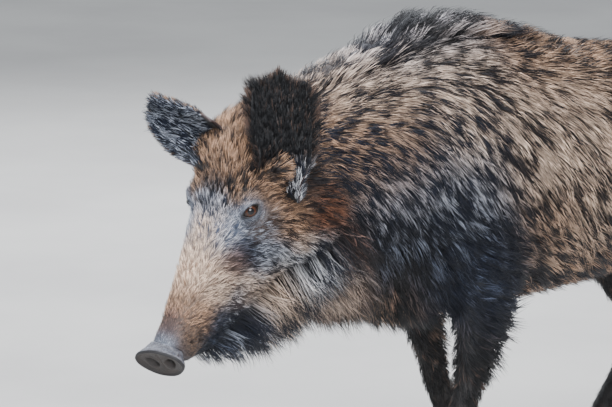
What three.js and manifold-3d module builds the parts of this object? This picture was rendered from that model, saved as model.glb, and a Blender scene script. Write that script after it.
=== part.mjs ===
// A wild boar at life size, walking slowly with its head lowered and turned a little to its left.
// Millimetres, +Z up. The boar faces -Y and its left side is +X. Its hooves stand on z = 0.
// Every outline is that of the coat, so the bristles' tips lie on the surfaces.
import * as THREE from "three";
import { mergeVertices } from "three/addons/utils/BufferGeometryUtils.js";
import Module from "manifold-3d";

const wasm = await Module();
wasm.setup();

// Driving sizes
const GAP = 0.6; // the thin cuts that part one node from the next
const WITHERS = 815; // the coat's height over the shoulders, without the mane
const MANE = 36; // how far the crest of bristles rises above the coat
const CHEST = 374; // the height of the brisket's coat
const LEG_SPREAD = 98; // from the midline to the middle of a leg
const HOOF_HEIGHT = 46;
const EYE_RADIUS = 14;

// The head: a station's distance runs from the snout's disc back along the head's axis
const HEAD_PITCH = THREE.MathUtils.degToRad(54); // the nose points this far below level
const HEAD_YAW = THREE.MathUtils.degToRad(3); // and this far to the boar's left
const HEAD_ROLL = THREE.MathUtils.degToRad(4); // its crown leans this far to the left
const SKULL_STATION = 300; // the station that sits at SKULL
const SKULL = new THREE.Vector3(28, -405, 622);
const EYE = { station: 251, height: 36, aside: 54 };
const DISC = { half: 43, top: 26, under: 29, thick: 14 };

// The ears are set alike, but the left one stands up and the right one is laid out to the side.
const EAR = { station: 326, height: 54, aside: 78, long: 146, half: 55, thick: 22 };
const EAR_POSES = {
  left: { side: 1, tip: [-0.04, 0.1, 0.99], opening: [0.8, -0.6, -0.1] },
  right: { side: -1, tip: [-0.93, 0.13, 0.3], opening: [-0.08, -0.98, 0.15] },
};

const COLOURS = {
  coat: { color: 0x57493d, roughness: 0.9, metalness: 0 },
  face: { color: 0x8b7b6a, roughness: 0.9, metalness: 0 },
  darkCoat: { color: 0x231d1b, roughness: 0.9, metalness: 0 },
  noseLeather: { color: 0x5a4a46, roughness: 0.5, metalness: 0 },
  horn: { color: 0x2b2523, roughness: 0.45, metalness: 0 },
  eye: { color: 0x2a1208, roughness: 0.08, metalness: 0 },
};

const ACROSS = new THREE.Vector3(1, 0, 0);
const UP = new THREE.Vector3(0, 0, 1);
const FORWARD = new THREE.Vector3(0, -1, 0);

// ---------- making and joining solids ----------

// A three.js geometry as a manifold-3d solid, turned the right way out.
function solid(geometry, matrix = new THREE.Matrix4()) {
  const bare = new THREE.BufferGeometry();
  const source = geometry.index ? geometry.toNonIndexed() : geometry;
  bare.setAttribute("position", source.getAttribute("position").clone());
  bare.applyMatrix4(matrix);
  const merged = mergeVertices(bare, 1e-3);
  const vertProperties = new Float32Array(merged.attributes.position.array);
  const build = (triVerts) => new wasm.Manifold(new wasm.Mesh({ numProp: 3, vertProperties, triVerts }));
  const triangles = new Uint32Array(merged.index.array);
  const made = build(triangles);
  return made.volume() > 0 ? made : build(triangles.toReversed());
}

// A manifold-3d solid as a three.js geometry.
function geometryOf(made) {
  const mesh = made.getMesh();
  const points = new Float32Array(mesh.numVert * 3);
  for (let i = 0; i < mesh.numVert; i++) {
    points.set(mesh.vertProperties.subarray(i * mesh.numProp, i * mesh.numProp + 3), i * 3);
  }
  const geometry = new THREE.BufferGeometry();
  geometry.setAttribute("position", new THREE.BufferAttribute(points, 3));
  geometry.setIndex(new THREE.BufferAttribute(new Uint32Array(mesh.triVerts), 1));
  geometry.computeVertexNormals();
  return geometry;
}

const union = (solids) => solids.reduce((whole, next) => whole.add(next));

// A closed body drawn through stations. Each has its place, its half width, and how far it reaches
// to the top and the underside. crest raises a ridge on top, and taper narrows the top.
function loft(stations, { around = 20, rows = 12, across = ACROSS, up = UP, matrix } = {}) {
  const curve = (pick) => new THREE.CatmullRomCurve3(stations.map((s) => new THREE.Vector3(...pick(s))));
  const spine = curve((s) => s.at);
  const sizes = curve((s) => [s.half, s.top, s.under]);
  const shapes = curve((s) => [s.crest ?? 0, s.taper ?? 0, s.square ?? 2]);
  const tube = new THREE.CylinderGeometry(1, 1, 1, around, rows);
  const points = tube.getAttribute("position");
  const CREST_SPREAD = 0.3; // of a turn in radians
  for (let i = 0; i < points.count; i++) {
    const t = 0.5 - points.getY(i);
    const [half, top, under] = sizes.getPoint(t).toArray();
    const [crest, taper, square] = shapes.getPoint(t).toArray();
    const aside = points.getX(i);
    const lift = points.getZ(i);
    const radius = Math.hypot(aside, lift);
    const bulge = radius > 0.5 ? (Math.abs(aside) ** square + Math.abs(lift) ** square) ** (-1 / square) : 1;
    const fromTop = Math.atan2(Math.abs(aside), lift);
    const ridge = radius > 0.5 ? crest * Math.exp(-((fromTop / CREST_SPREAD) ** 2)) : 0;
    const point = spine.getPoint(t);
    point.addScaledVector(across, aside * bulge * half * (1 - taper * lift));
    point.addScaledVector(up, lift * bulge * (lift > 0 ? top : under) + ridge);
    points.setXYZ(i, point.x, point.y, point.z);
  }
  return solid(tube, matrix);
}

// A thin plate that cuts right through what it crosses. It runs from one point to another,
// and is width wide along the third direction.
function cut(from, to, wideDirection, width) {
  const start = new THREE.Vector3(...from);
  const end = new THREE.Vector3(...to);
  const along = end.clone().sub(start);
  const length = along.length();
  along.normalize();
  const wide = new THREE.Vector3(...wideDirection);
  wide.addScaledVector(along, -wide.dot(along)).normalize();
  const normal = new THREE.Vector3().crossVectors(along, wide);
  const matrix = new THREE.Matrix4().makeBasis(along, wide, normal);
  matrix.setPosition(start.add(end).multiplyScalar(0.5));
  return solid(new THREE.BoxGeometry(length, width, GAP), matrix);
}

// An ellipsoid with its middle and its three half sizes, in the frame that matrix gives.
function ball(middle, radii, matrix = new THREE.Matrix4(), around = 16) {
  const sphere = new THREE.SphereGeometry(1, around, around / 2);
  sphere.scale(...radii).translate(...middle);
  return solid(sphere, matrix);
}

// ---------- trunk, neck and tail ----------

// A trunk station by its distance behind the forelegs and the heights of its back and belly.
function trunkStation(back, half, top, bottom, crest = 0) {
  return { at: [0, back, (top + bottom) / 2], half, top: (top - bottom) / 2, under: (top - bottom) / 2, crest };
}

// It can be grown a little, for the limbs to be cut to its shape.
function trunk(grown = 0) {
  return loft(
    [
      trunkStation(-240, 56, WITHERS - 150, CHEST + 110),
      trunkStation(-190, 112, WITHERS - 60, CHEST + 34, MANE * 0.5),
      trunkStation(-95, 146, WITHERS - 12, CHEST, MANE * 0.9),
      trunkStation(10, 162, WITHERS, CHEST - 6, MANE),
      trunkStation(130, 170, WITHERS - 16, CHEST - 8, MANE * 0.9),
      trunkStation(260, 174, WITHERS - 36, CHEST - 8, MANE * 0.6),
      trunkStation(390, 172, WITHERS - 52, CHEST, MANE * 0.35),
      trunkStation(510, 160, WITHERS - 68, CHEST + 18, MANE * 0.2),
      trunkStation(610, 138, WITHERS - 96, CHEST + 46, MANE * 0.1),
      trunkStation(690, 98, WITHERS - 150, CHEST + 90),
      trunkStation(732, 40, WITHERS - 220, CHEST + 150),
    ].map((s) => ({ ...s, half: s.half + grown, top: s.top + grown, under: s.under + grown })),
    { around: 24, rows: 21 },
  );
}

function neck() {
  return loft(
    [
      { at: [0, -40, 612], half: 138, top: 184, under: 200, crest: MANE * 0.9 },
      { at: [2, -150, 604], half: 138, top: 178, under: 200, crest: MANE },
      { at: [8, -250, 598], half: 130, top: 166, under: 190, crest: MANE * 0.8 },
      { at: [18, -335, 604], half: 118, top: 146, under: 166, crest: MANE * 0.6 },
      { at: [26, -400, 620], half: 96, top: 120, under: 130, crest: MANE * 0.3 },
      { at: [29, -435, 630], half: 50, top: 74, under: 74 },
    ],
    { around: 24, rows: 10 },
  );
}

function tail() {
  return loft(
    [
      { at: [0, 690, 668], half: 26, top: 24, under: 30 },
      { at: [0, 738, 640], half: 20, top: 18, under: 22 },
      { at: [2, 768, 575], half: 14, top: 13, under: 14 },
      { at: [4, 778, 500], half: 12, top: 11, under: 12 },
      { at: [6, 782, 440], half: 17, top: 15, under: 16 },
      { at: [7, 782, 390], half: 13, top: 12, under: 12 },
      { at: [7, 780, 352], half: 4, top: 4, under: 4 },
    ],
    { around: 10, rows: 12, up: new THREE.Vector3(0, 1, 0) },
  );
}

// ---------- the head ----------

// The head's own frame: the nose points to -Y, the crown to +Z, and the origin is at SKULL_STATION.
const headMatrix = new THREE.Matrix4()
  .makeRotationFromEuler(new THREE.Euler(HEAD_PITCH, HEAD_ROLL, HEAD_YAW, "ZYX"))
  .setPosition(SKULL);

const headPoint = (station, height, aside = 0) => [aside, station - SKULL_STATION, height];

function headStation(station, half, top, under, taper = 0, square = 2.2) {
  return { at: headPoint(station, 0), half, top, under, taper, square };
}

function skull() {
  return loft(
    [
      headStation(DISC.thick + GAP, 31, 22, 27, 0.05),
      headStation(40, 33, 26, 60, 0.1),
      headStation(80, 39, 32, 122, 0.1, 2.3),
      headStation(125, 46, 39, 168, 0.1, 2.4),
      headStation(170, 53, 49, 200, 0.12, 2.4),
      headStation(215, 61, 62, 220, 0.18, 2.3),
      headStation(258, 76, 76, 226, 0.24),
      headStation(300, 94, 86, 216, 0.24, 2.1),
      headStation(340, 104, 88, 184, 0.14, 2.1),
      headStation(378, 90, 76, 130, 0, 2.1),
      headStation(400, 50, 46, 66),
    ],
    { around: 24, rows: 20, matrix: headMatrix },
  );
}

function noseDisc() {
  const disc = loft(
    [
      headStation(-5, DISC.half - 3, DISC.top - 3, DISC.under - 3, -0.14, 2.4),
      headStation(0, DISC.half, DISC.top, DISC.under, -0.14, 2.4),
      headStation(7, DISC.half - 2, DISC.top - 1, DISC.under - 2, -0.12, 2.4),
      headStation(DISC.thick, 31, 22, 26, 0, 2.3),
    ],
    { around: 20, rows: 4, matrix: headMatrix },
  );
  const nostrils = [-1, 1].map((side) => ball(headPoint(-6, -3, side * 15), [7.5, 13, 9], headMatrix, 8));
  return disc.subtract(union(nostrils));
}

// The gap that parts the lower jaw from the head: along the mouth, then down behind the chin.
function jawCuts() {
  const aside = ACROSS.clone().transformDirection(headMatrix).toArray();
  const [lip, corner, chin] = [headPoint(5, -30), headPoint(138, -52), headPoint(186, -250)].map((p) =>
    new THREE.Vector3(...p).applyMatrix4(headMatrix).toArray(),
  );
  return [cut(lip, corner, aside, 160), cut(corner, chin, aside, 160)];
}

// The ear's own frame stands at its root, with +Z to the tip and the hollow facing -Y.
function earMatrix({ side, tip, opening }) {
  const upwards = new THREE.Vector3(...tip).normalize();
  const back = new THREE.Vector3(...opening).negate();
  back.addScaledVector(upwards, -back.dot(upwards)).normalize();
  const wide = new THREE.Vector3().crossVectors(back, upwards);
  const root = new THREE.Vector3(...headPoint(EAR.station, EAR.height, side * EAR.aside));
  return new THREE.Matrix4().makeBasis(wide, back, upwards).setPosition(root.applyMatrix4(headMatrix));
}

// The ear's leaf without its hollow. It can be grown a little, for the place it sits in.
function earLeaf(pose, grown = 0) {
  const level = (share, half, thick) => ({
    at: [0, 0, share * EAR.long + Math.sign(share - 0.4) * grown],
    half: half * EAR.half + grown,
    top: thick * EAR.thick + grown,
    under: thick * EAR.thick + grown,
  });
  return loft(
    [
      level(-0.2, 0.45, 0.9),
      level(0.02, 0.66, 1.2),
      level(0.26, 0.94, 1.2),
      level(0.52, 1, 1),
      level(0.77, 0.8, 0.7),
      level(0.93, 0.5, 0.45),
      level(1, 0.2, 0.25),
    ],
    { around: 16, rows: 9, up: new THREE.Vector3(0, 1, 0), matrix: earMatrix(pose) },
  );
}

function ear(pose) {
  const HOLLOW_FORWARD = -20;
  const level = ([share, half, thick]) => ({
    at: [0, HOLLOW_FORWARD, share * EAR.long],
    half: half * EAR.half,
    top: thick * EAR.thick,
    under: thick * EAR.thick,
  });
  const hollow = [
    [0.16, 0.25, 0.7],
    [0.32, 0.62, 1.05],
    [0.55, 0.76, 1.02],
    [0.76, 0.52, 0.85],
    [0.88, 0.2, 0.5],
  ];
  const options = { around: 10, rows: 5, up: new THREE.Vector3(0, 1, 0), matrix: earMatrix(pose) };
  return earLeaf(pose).subtract(loft(hollow.map(level), options));
}

// ---------- legs ----------

// Leg stations run down the limb: its middle, half width, and reach to the front and the rear.
function leg(side, stations) {
  return loft(
    stations.map(([back, height, half, front, rear, aside = LEG_SPREAD]) => ({
      at: [side * aside, back, height],
      half,
      top: front,
      under: rear,
    })),
    { around: 12, rows: 15, up: FORWARD },
  );
}

// The foot's last stations, under a fetlock that stands above its hooves
const footStations = (hoofBack) => [
  [hoofBack + 10, 118, 23, 22, 27],
  [hoofBack + 4, 86, 27, 26, 31],
  [hoofBack, 62, 25, 26, 26],
  [hoofBack, HOOF_HEIGHT + GAP, 24, 24, 22],
];

const LIMBS = {
  foreleg_left: {
    side: 1,
    hoofBack: -62,
    stations: [
      [-34, 590, 34, 92, 60, 92],
      [0, 500, 38, 88, 86],
      [24, 425, 44, 72, 84],
      [20, 362, 36, 54, 58],
      [6, 300, 31, 40, 42],
      [-16, 232, 28, 31, 30],
      [-30, 175, 23, 24, 24],
    ],
    joint: { back: -16, height: 222 },
  },
  foreleg_right: {
    side: -1,
    hoofBack: 168,
    stations: [
      [-34, 590, 34, 92, 60, 92],
      [22, 500, 38, 84, 80],
      [62, 425, 44, 62, 74],
      [84, 362, 36, 48, 48],
      [106, 300, 31, 38, 38],
      [132, 232, 28, 32, 31],
      [156, 175, 23, 25, 24],
    ],
    joint: { back: 137, height: 222 },
  },
  hindleg_left: {
    side: 1,
    hoofBack: 694,
    stations: [
      [560, 640, 46, 110, 112, 74],
      [566, 540, 54, 112, 120, 84],
      [560, 455, 56, 84, 108],
      [600, 380, 42, 58, 70],
      [668, 310, 30, 42, 46],
      [720, 250, 26, 34, 36],
      [722, 185, 22, 26, 26],
    ],
    joint: { back: 712, height: 244 },
  },
  hindleg_right: {
    side: -1,
    hoofBack: 520,
    stations: [
      [560, 640, 46, 110, 112, 74],
      [550, 540, 54, 112, 116, 84],
      [528, 455, 56, 84, 104],
      [540, 380, 42, 58, 68],
      [582, 310, 30, 42, 46],
      [614, 250, 26, 34, 36],
      [590, 185, 22, 26, 26],
    ],
    joint: { back: 608, height: 244 },
  },
};

// A whole limb where it stands out of the trunk, cut in two at its joint
function limb({ side, hoofBack, stations, joint }) {
  const whole = leg(side, [...stations, ...footStations(hoofBack)]);
  const across = cut([side * 40, joint.back, joint.height], [side * 160, joint.back, joint.height], [0, 1, 0], 140);
  return whole.subtract(union([trunk(GAP), across]));
}

// One hoof of the cloven pair: a flat sole, a sloping front wall and a flat top under the foot.
function hoof(x, back) {
  return loft(
    [
      { at: [x, back - 6, 0], half: 13.5, top: 40, under: 26, square: 2.3 },
      { at: [x, back - 4, 8], half: 13.8, top: 38, under: 27, square: 2.3 },
      { at: [x, back - 2, 30], half: 12.8, top: 30, under: 25, square: 2.3 },
      { at: [x, back, HOOF_HEIGHT], half: 11.6, top: 22, under: 21, square: 2.3 },
    ],
    { around: 10, rows: 2, up: FORWARD },
  );
}

// A dewclaw: a small hoof behind the pastern that stays clear of the ground.
function dewclaw(x, back) {
  return loft(
    [
      { at: [x, back + 35, 66], half: 8, top: 5, under: 9 },
      { at: [x * 1.02, back + 42, 44], half: 9, top: 7, under: 9 },
      { at: [x * 1.03, back + 48, 24], half: 5, top: 3, under: 5 },
    ],
    { around: 6, rows: 2, up: FORWARD },
  );
}

// ---------- parting the flesh and putting the boar together ----------

const eyePlace = (side) => headPoint(EYE.station, EYE.height, side * EYE.aside);

// The whole body but for its limbs and ears as one solid, before it is cut
function body() {
  const whole = union([trunk(), neck(), skull(), tail()]);
  const brows = [-1, 1].map((side) => ball(headPoint(272, 32, side * 42), [24, 38, 26], headMatrix, 12));
  const roots = [-1, 1].map((side) => ball(headPoint(326, 38, side * 62), [32, 42, 32], headMatrix, 12));
  return union([whole, ...brows, ...roots]);
}

const CUTS = [
  cut([10, -500, 936], [10, -180, 368], [1, 0, 0], 420), // head from neck
  cut([0, -30, 900], [0, -150, 350], [1, 0, 0], 420), // neck from trunk
  cut([-60, 736, 700], [60, 736, 700], [0, 0, 1], 200), // tail from trunk
  ...jawCuts(),
];

// A point well inside each flesh node, by which its piece is known once the body is cut
const NODE_MIDDLES = {
  trunk: [0, 250, 590],
  neck: [5, -210, 640],
  head: new THREE.Vector3(...headPoint(290, 0)).applyMatrix4(headMatrix).toArray(),
  lower_jaw: new THREE.Vector3(...headPoint(95, -50)).applyMatrix4(headMatrix).toArray(),
  tail: [4, 775, 500],
  ...Object.fromEntries(
    Object.entries(LIMBS).flatMap(([name, { side, joint, hoofBack }]) => [
      [name, [side * LEG_SPREAD, joint.back, joint.height + 90]],
      [name.replace("leg", "foot"), [side * LEG_SPREAD, hoofBack, 110]],
    ]),
  ),
};

// The piece whose box's middle lies nearest to a point
function pieceAt(pieces, point) {
  const target = new THREE.Vector3(...point);
  const away = (piece) => {
    const box = piece.boundingBox();
    const middle = new THREE.Vector3(...box.min).add(new THREE.Vector3(...box.max)).multiplyScalar(0.5);
    return middle.distanceTo(target);
  };
  return pieces.reduce((best, piece) => (away(piece) < away(best) ? piece : best));
}

const boar = new THREE.Group();

function addNode(name, made, look) {
  const mesh = new THREE.Mesh(geometryOf(made), new THREE.MeshStandardMaterial(look));
  mesh.name = name;
  boar.add(mesh);
  return mesh;
}

const sides = { left: 1, right: -1 };

function addFlesh() {
  const earPlaces = Object.values(EAR_POSES).map((pose) => earLeaf(pose, GAP));
  const sockets = Object.values(sides).map((side) =>
    ball(eyePlace(side), Array(3).fill(EYE_RADIUS + GAP), headMatrix, 12),
  );
  const parted = body().subtract(union([...CUTS, ...sockets, ...earPlaces]));
  const pieces = [parted, ...Object.values(LIMBS).map(limb)].flatMap((whole) => whole.decompose());
  for (const [name, point] of Object.entries(NODE_MIDDLES)) {
    const dark = /leg|foot|tail/.test(name);
    const look = dark ? COLOURS.darkCoat : /head|jaw/.test(name) ? COLOURS.face : COLOURS.coat;
    addNode(name, pieceAt(pieces, point), look);
  }
  for (const [name, pose] of Object.entries(EAR_POSES)) {
    addNode("ear_" + name, ear(pose), COLOURS.darkCoat);
  }
  addNode("nose_disc", noseDisc(), COLOURS.noseLeather);
}

function addEyes() {
  for (const [name, side] of Object.entries(sides)) {
    addNode("eye_" + name, ball(eyePlace(side), Array(3).fill(EYE_RADIUS), headMatrix, 12), COLOURS.eye);
  }
}

function addHooves() {
  const CLEFT = 15.5; // from the foot's middle to the middle of each hoof
  const DEWCLAW_ASIDE = 19;
  for (const [name, { side, hoofBack }] of Object.entries(LIMBS)) {
    const [limb, which] = name.split("leg_");
    for (const [part, way] of Object.entries({ inner: -1, outer: 1 })) {
      const x = side * (LEG_SPREAD + way * CLEFT);
      addNode(`hoof_${limb}_${which}_${part}`, hoof(x, hoofBack), COLOURS.horn);
      const clawX = side * (LEG_SPREAD + way * DEWCLAW_ASIDE);
      addNode(`dewclaw_${limb}_${which}_${part}`, dewclaw(clawX, hoofBack), COLOURS.horn);
    }
  }
}

addFlesh();
addEyes();
addHooves();

// The origin goes to the floor under the middle of the boar.
const reach = new THREE.Box3().setFromObject(boar);
boar.position.copy(reach.getCenter(new THREE.Vector3())).negate();
boar.position.z = -reach.min.z;

export default boar;
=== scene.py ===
import math
import time

import bmesh
import bpy
import numpy as np
from mathutils import Matrix, Vector
from mathutils.bvhtree import BVHTree
from mathutils.kdtree import KDTree


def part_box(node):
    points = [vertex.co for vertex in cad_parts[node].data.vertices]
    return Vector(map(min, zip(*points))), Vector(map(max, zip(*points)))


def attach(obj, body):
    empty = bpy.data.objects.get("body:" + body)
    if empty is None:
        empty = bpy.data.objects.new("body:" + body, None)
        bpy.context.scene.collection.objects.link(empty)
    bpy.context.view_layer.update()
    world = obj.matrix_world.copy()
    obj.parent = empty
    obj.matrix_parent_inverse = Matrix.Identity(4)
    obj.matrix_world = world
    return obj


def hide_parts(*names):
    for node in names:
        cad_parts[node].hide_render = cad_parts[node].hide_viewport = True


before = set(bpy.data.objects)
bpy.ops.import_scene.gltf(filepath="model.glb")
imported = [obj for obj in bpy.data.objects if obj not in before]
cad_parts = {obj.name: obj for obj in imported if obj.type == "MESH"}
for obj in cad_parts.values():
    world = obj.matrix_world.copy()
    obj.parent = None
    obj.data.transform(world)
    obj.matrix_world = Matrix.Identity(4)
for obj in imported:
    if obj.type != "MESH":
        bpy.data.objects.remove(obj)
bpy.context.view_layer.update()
startTime = time.time()


def say(stage):
    print(f"{time.time() - startTime:6.1f} s  {stage}")


# Body points are given in millimetres from the floor between the forelegs: left, back and up.
bodyOrigin = np.array([0.005836, -0.096643, 0.0])
headPose = {"pitch": 54, "yaw": 3, "roll": 4, "place": (28, -405, 622), "station": 300}


def turned(axis, degrees):
    return np.array(Matrix.Rotation(math.radians(degrees), 3, axis))


def fromBody(*places):
    return np.array(places, float) / 1000 + bodyOrigin


def toBody(points):
    return ((points - bodyOrigin) * 1000).T


headTurn = turned("Z", headPose["yaw"]) @ turned("Y", headPose["roll"]) @ turned("X", headPose["pitch"])
headPlace = fromBody(headPose["place"])[0]


# Head points are in millimetres too: behind the snout's disc, above the head's axis, and to its left.
def fromHead(*places):
    station, height, aside = np.array(places, float).T
    local = np.stack([aside, station - headPose["station"], height], axis=1) / 1000
    return local @ headTurn.T + headPlace


def toHead(points):
    local = (points - headPlace) @ headTurn * 1000
    return local[:, 1] + headPose["station"], local[:, 2], local[:, 0]


def headWay(*ways):
    station, height, aside = np.array(ways, float).T
    return np.stack([aside, station, height], axis=1) @ headTurn.T


def smooth(low, high, value):
    t = np.clip((value - low) / (high - low), 0, 1)
    return t * t * (3 - 2 * t)


def band(low, high, soft, value):
    return smooth(low - soft, low + soft, value) * (1 - smooth(high - soft, high + soft, value))


def bell(distance, radius):
    return np.exp(-((distance / radius) ** 2))


def unit(vectors):
    return vectors / np.maximum(np.linalg.norm(vectors, axis=-1, keepdims=True), 1e-9)


stagePlan = {
    "azimuth": 45, "elevation": 10, "distance": 7.0, "sensor": 36, "lens": 4550 / 612 * 36, "farthest": 200,
    "fixedPoint": (0, 10, 851), "fixedPixel": (430, 5), "picture": (612, 407),  # where the withers show
    "floor": (0.60, 0.58, 0.55), "floorDark": (0.52, 0.50, 0.48), "floorReach": 40,
    "sky": (0.85, 0.92, 1.0), "skyStrength": 0.7,
}
lightPlan = {  # place, target, size, power and tint
    "skyLight": ((1.2, -1.6, 4.2), (0, -0.2, 0.4), 3.4, 400, (0.92, 0.95, 1.0)),
    "frontLight": ((3.6, -3.2, 1.9), (0, -0.3, 0.5), 2.0, 150, (0.97, 0.97, 1.0)),
    "rimLight": ((-3.0, 2.2, 2.8), (0, 0.0, 0.6), 2.2, 170, (0.90, 0.94, 1.0)),
}


def linked(name, data):
    piece = bpy.data.objects.new(name, data)
    bpy.context.scene.collection.objects.link(piece)
    return piece


def makeCamera(plan):
    turnBy, rise = math.radians(plan["azimuth"]), math.radians(plan["elevation"])
    back = Vector((math.sin(turnBy) * math.cos(rise), -math.cos(turnBy) * math.cos(rise), math.sin(rise)))
    right = Vector((math.cos(turnBy), math.sin(turnBy), 0))
    up = back.cross(right)
    width, height = plan["picture"]
    perPixel = plan["distance"] / (plan["lens"] / plan["sensor"] * width)
    aside = (plan["fixedPixel"][0] - width / 2) * perPixel
    above = (height / 2 - plan["fixedPixel"][1]) * perPixel
    target = Vector(fromBody(plan["fixedPoint"])[0]) - right * aside - up * above
    camera = linked("camera", bpy.data.cameras.new("camera"))
    camera.data.lens = plan["lens"]
    camera.data.sensor_width = plan["sensor"]
    camera.data.clip_end = plan["farthest"]
    facing = Matrix((right, up, back)).transposed().to_4x4()
    camera.matrix_world = Matrix.Translation(target + back * plan["distance"]) @ facing
    bpy.context.scene.camera = camera


def addLight(name, place, target, size, power, tint):
    light = linked(name, bpy.data.lights.new(name, "AREA"))
    light.data.shape = "DISK"
    light.data.size = size
    light.data.energy = power
    light.data.color = tint
    light.location = place
    light.rotation_euler = (Vector(target) - Vector(place)).to_track_quat("-Z", "Y").to_euler()


makeCamera(stagePlan)
for name, light in lightPlan.items():
    addLight(name, *light)
say("camera and lights")


# The flesh nodes are grown together into one surface, which is then drawn in by the depth of the coat.
skinPlan = {
    "voxel": 0.0066, "overlap": 0.0009,
    "depth": {  # of the coat over the skin, in millimetres
        "trunk": 17, "neck": 18, "head": 6, "jaw": 9, "tail": 6, "foreleg": 9, "hindleg": 10, "foot": 3,
    },
    "maneDepth": 38, "beardDepth": 28, "cheekDepth": 12, "foreheadDepth": 3, "eyeDepth": 3, "snoutDepth": 1.5,
    "steps": 8, "shareSoftening": 22,
    "earRoots": {"place": (326, 38, 60), "size": (30, 32, 42)},
    "pads": {"place": (0, -0.009, 0.004), "size": (0.012, 0.017, 0.020)},  # over the dewclaws, in metres
    "finer": [(0.13, (40, -20, 0)), (0.17, (300, -20, 0))], "eyeFiner": [0.036, 0.026],
}
sides = {"left": 1, "right": -1}
fourFeet = [(place, side) for place in ("fore", "hind") for side in sides]
eyePlaces = {side: np.array(sum(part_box("eye_" + side), Vector()) / 2) for side in sides}
legNodes = [f"{part}_{side}" for part in ("foreleg", "forefoot", "hindleg", "hindfoot") for side in sides]
fleshNodes = ["trunk", "neck", "head", "lower_jaw", "tail", *legNodes]


def meshOf(form, name):
    mesh = bpy.data.meshes.new(name)
    form.to_mesh(mesh)
    form.free()
    return mesh


def mapped(verts, place):
    # vertices go where place sends their coordinates
    for vert, point in zip(verts, place(np.array([vert.co for vert in verts]))):
        vert.co = point


def joinedFlesh(plan):
    whole = bmesh.new()
    for name in [*fleshNodes, "eye_left", "eye_right"]:
        part = bmesh.new()
        part.from_mesh(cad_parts[name].data)
        bmesh.ops.remove_doubles(part, verts=part.verts, dist=1e-5)
        part.normal_update()
        for vert in part.verts:
            vert.co += vert.normal * plan["overlap"]
        mesh = meshOf(part, "flesh")
        whole.from_mesh(mesh)
        bpy.data.meshes.remove(mesh)

    def addBall(size, middle, placed=None):
        def place(points):
            spots = points * size + middle
            return placed(*spots) if placed else spots
        mapped(bmesh.ops.create_icosphere(whole, subdivisions=3, radius=1)["verts"], place)

    station, height, aside = plan["earRoots"]["place"]
    for side in sides.values():
        addBall(plan["earRoots"]["size"], (station, height, side * aside), fromHead)
    for place, side in fourFeet:
        for part in ("inner", "outer"):
            low, high = (np.array(corner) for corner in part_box(f"dewclaw_{place}_{side}_{part}"))
            top = np.array([(low[0] + high[0]) / 2, (low[1] + high[1]) / 2, high[2]])
            addBall(plan["pads"]["size"], top + plan["pads"]["place"])
    return meshOf(whole, "boarSkin")


def keepLargest(form):
    # a form loses everything but its largest island
    left, islands = set(form.verts), []
    while left:
        reached, edge = set(), {next(iter(left))}
        while edge:
            reached |= edge
            edge = {near for vert in edge for link in vert.link_edges for near in link.verts} - reached
        left -= reached
        islands.append(reached)
    body = max(islands, key=len)
    bmesh.ops.delete(form, geom=[vert for vert in form.verts if vert not in body], context="VERTS")


def remeshed(mesh, voxel):
    piece = linked("remeshing", mesh)
    modifier = piece.modifiers.new("remesh", "REMESH")
    modifier.mode = "VOXEL"
    modifier.voxel_size = voxel
    solid = bpy.data.meshes.new_from_object(piece.evaluated_get(bpy.context.evaluated_depsgraph_get()))
    bpy.data.objects.remove(piece)
    form = bmesh.new()
    form.from_mesh(solid)
    keepLargest(form)
    return meshOf(form, "boarSkin")


def arrayOf(rows, field, width=1, kind=float):
    values = np.empty(len(rows) * width, kind)
    rows.foreach_get(field, values)
    return values if width == 1 else values.reshape(-1, width)


def meshPoints(mesh):
    return arrayOf(mesh.vertices, "co", 3)


def meshNormals(mesh):
    return arrayOf(mesh.vertex_normals, "vector", 3)


def meshEdges(mesh):
    return arrayOf(mesh.edges, "vertices", 2, np.int32)


def setPoints(mesh, points):
    mesh.vertices.foreach_set("co", points.ravel())
    mesh.update()


def setLayer(mesh, name, kind, field, values):
    mesh.attributes.new(name, kind, "POINT").data.foreach_set(field, values.ravel())


def treeOf(places):
    tree = KDTree(len(places))
    for k, place in enumerate(places):
        tree.insert(place, k)
    tree.balance()
    return tree


def spread(values, edges, times, share=0.5):
    # each vertex's value moves towards the mean of its neighbours
    flat = values.reshape(len(values), -1).astype(float)
    rows = len(flat)
    first, second = edges[:, 0], edges[:, 1]
    count = np.bincount(edges.ravel(), minlength=rows).clip(1)[:, None]
    for _ in range(times):
        sums = [np.bincount(first, column[second], rows) + np.bincount(second, column[first], rows)
                for column in flat.T]
        total = np.stack(sums, axis=1)
        flat = flat + (total / count - flat) * (share if np.isscalar(share) else share[:, None])
    return flat.reshape(values.shape)


def partShares(mesh, plan):
    # how much each vertex belongs to each part of the flesh, blended where parts meet
    corners, faces, names = [], [], []
    for name in fleshNodes:
        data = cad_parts[name].data
        start = len(corners)
        corners += [vert.co.copy() for vert in data.vertices]
        faces += [[start + k for k in face.vertices] for face in data.polygons]
        names += [name] * len(data.polygons)
    tree = BVHTree.FromPolygons(corners, faces)
    found = [names[tree.find_nearest(vert.co)[2]] for vert in mesh.vertices]
    shares = np.array([[part in name for part in plan["depth"]] for name in found], float)
    shares = spread(shares, meshEdges(mesh), plan["shareSoftening"])
    return dict(zip(plan["depth"], (shares / shares.sum(1, keepdims=True)).T))


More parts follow.
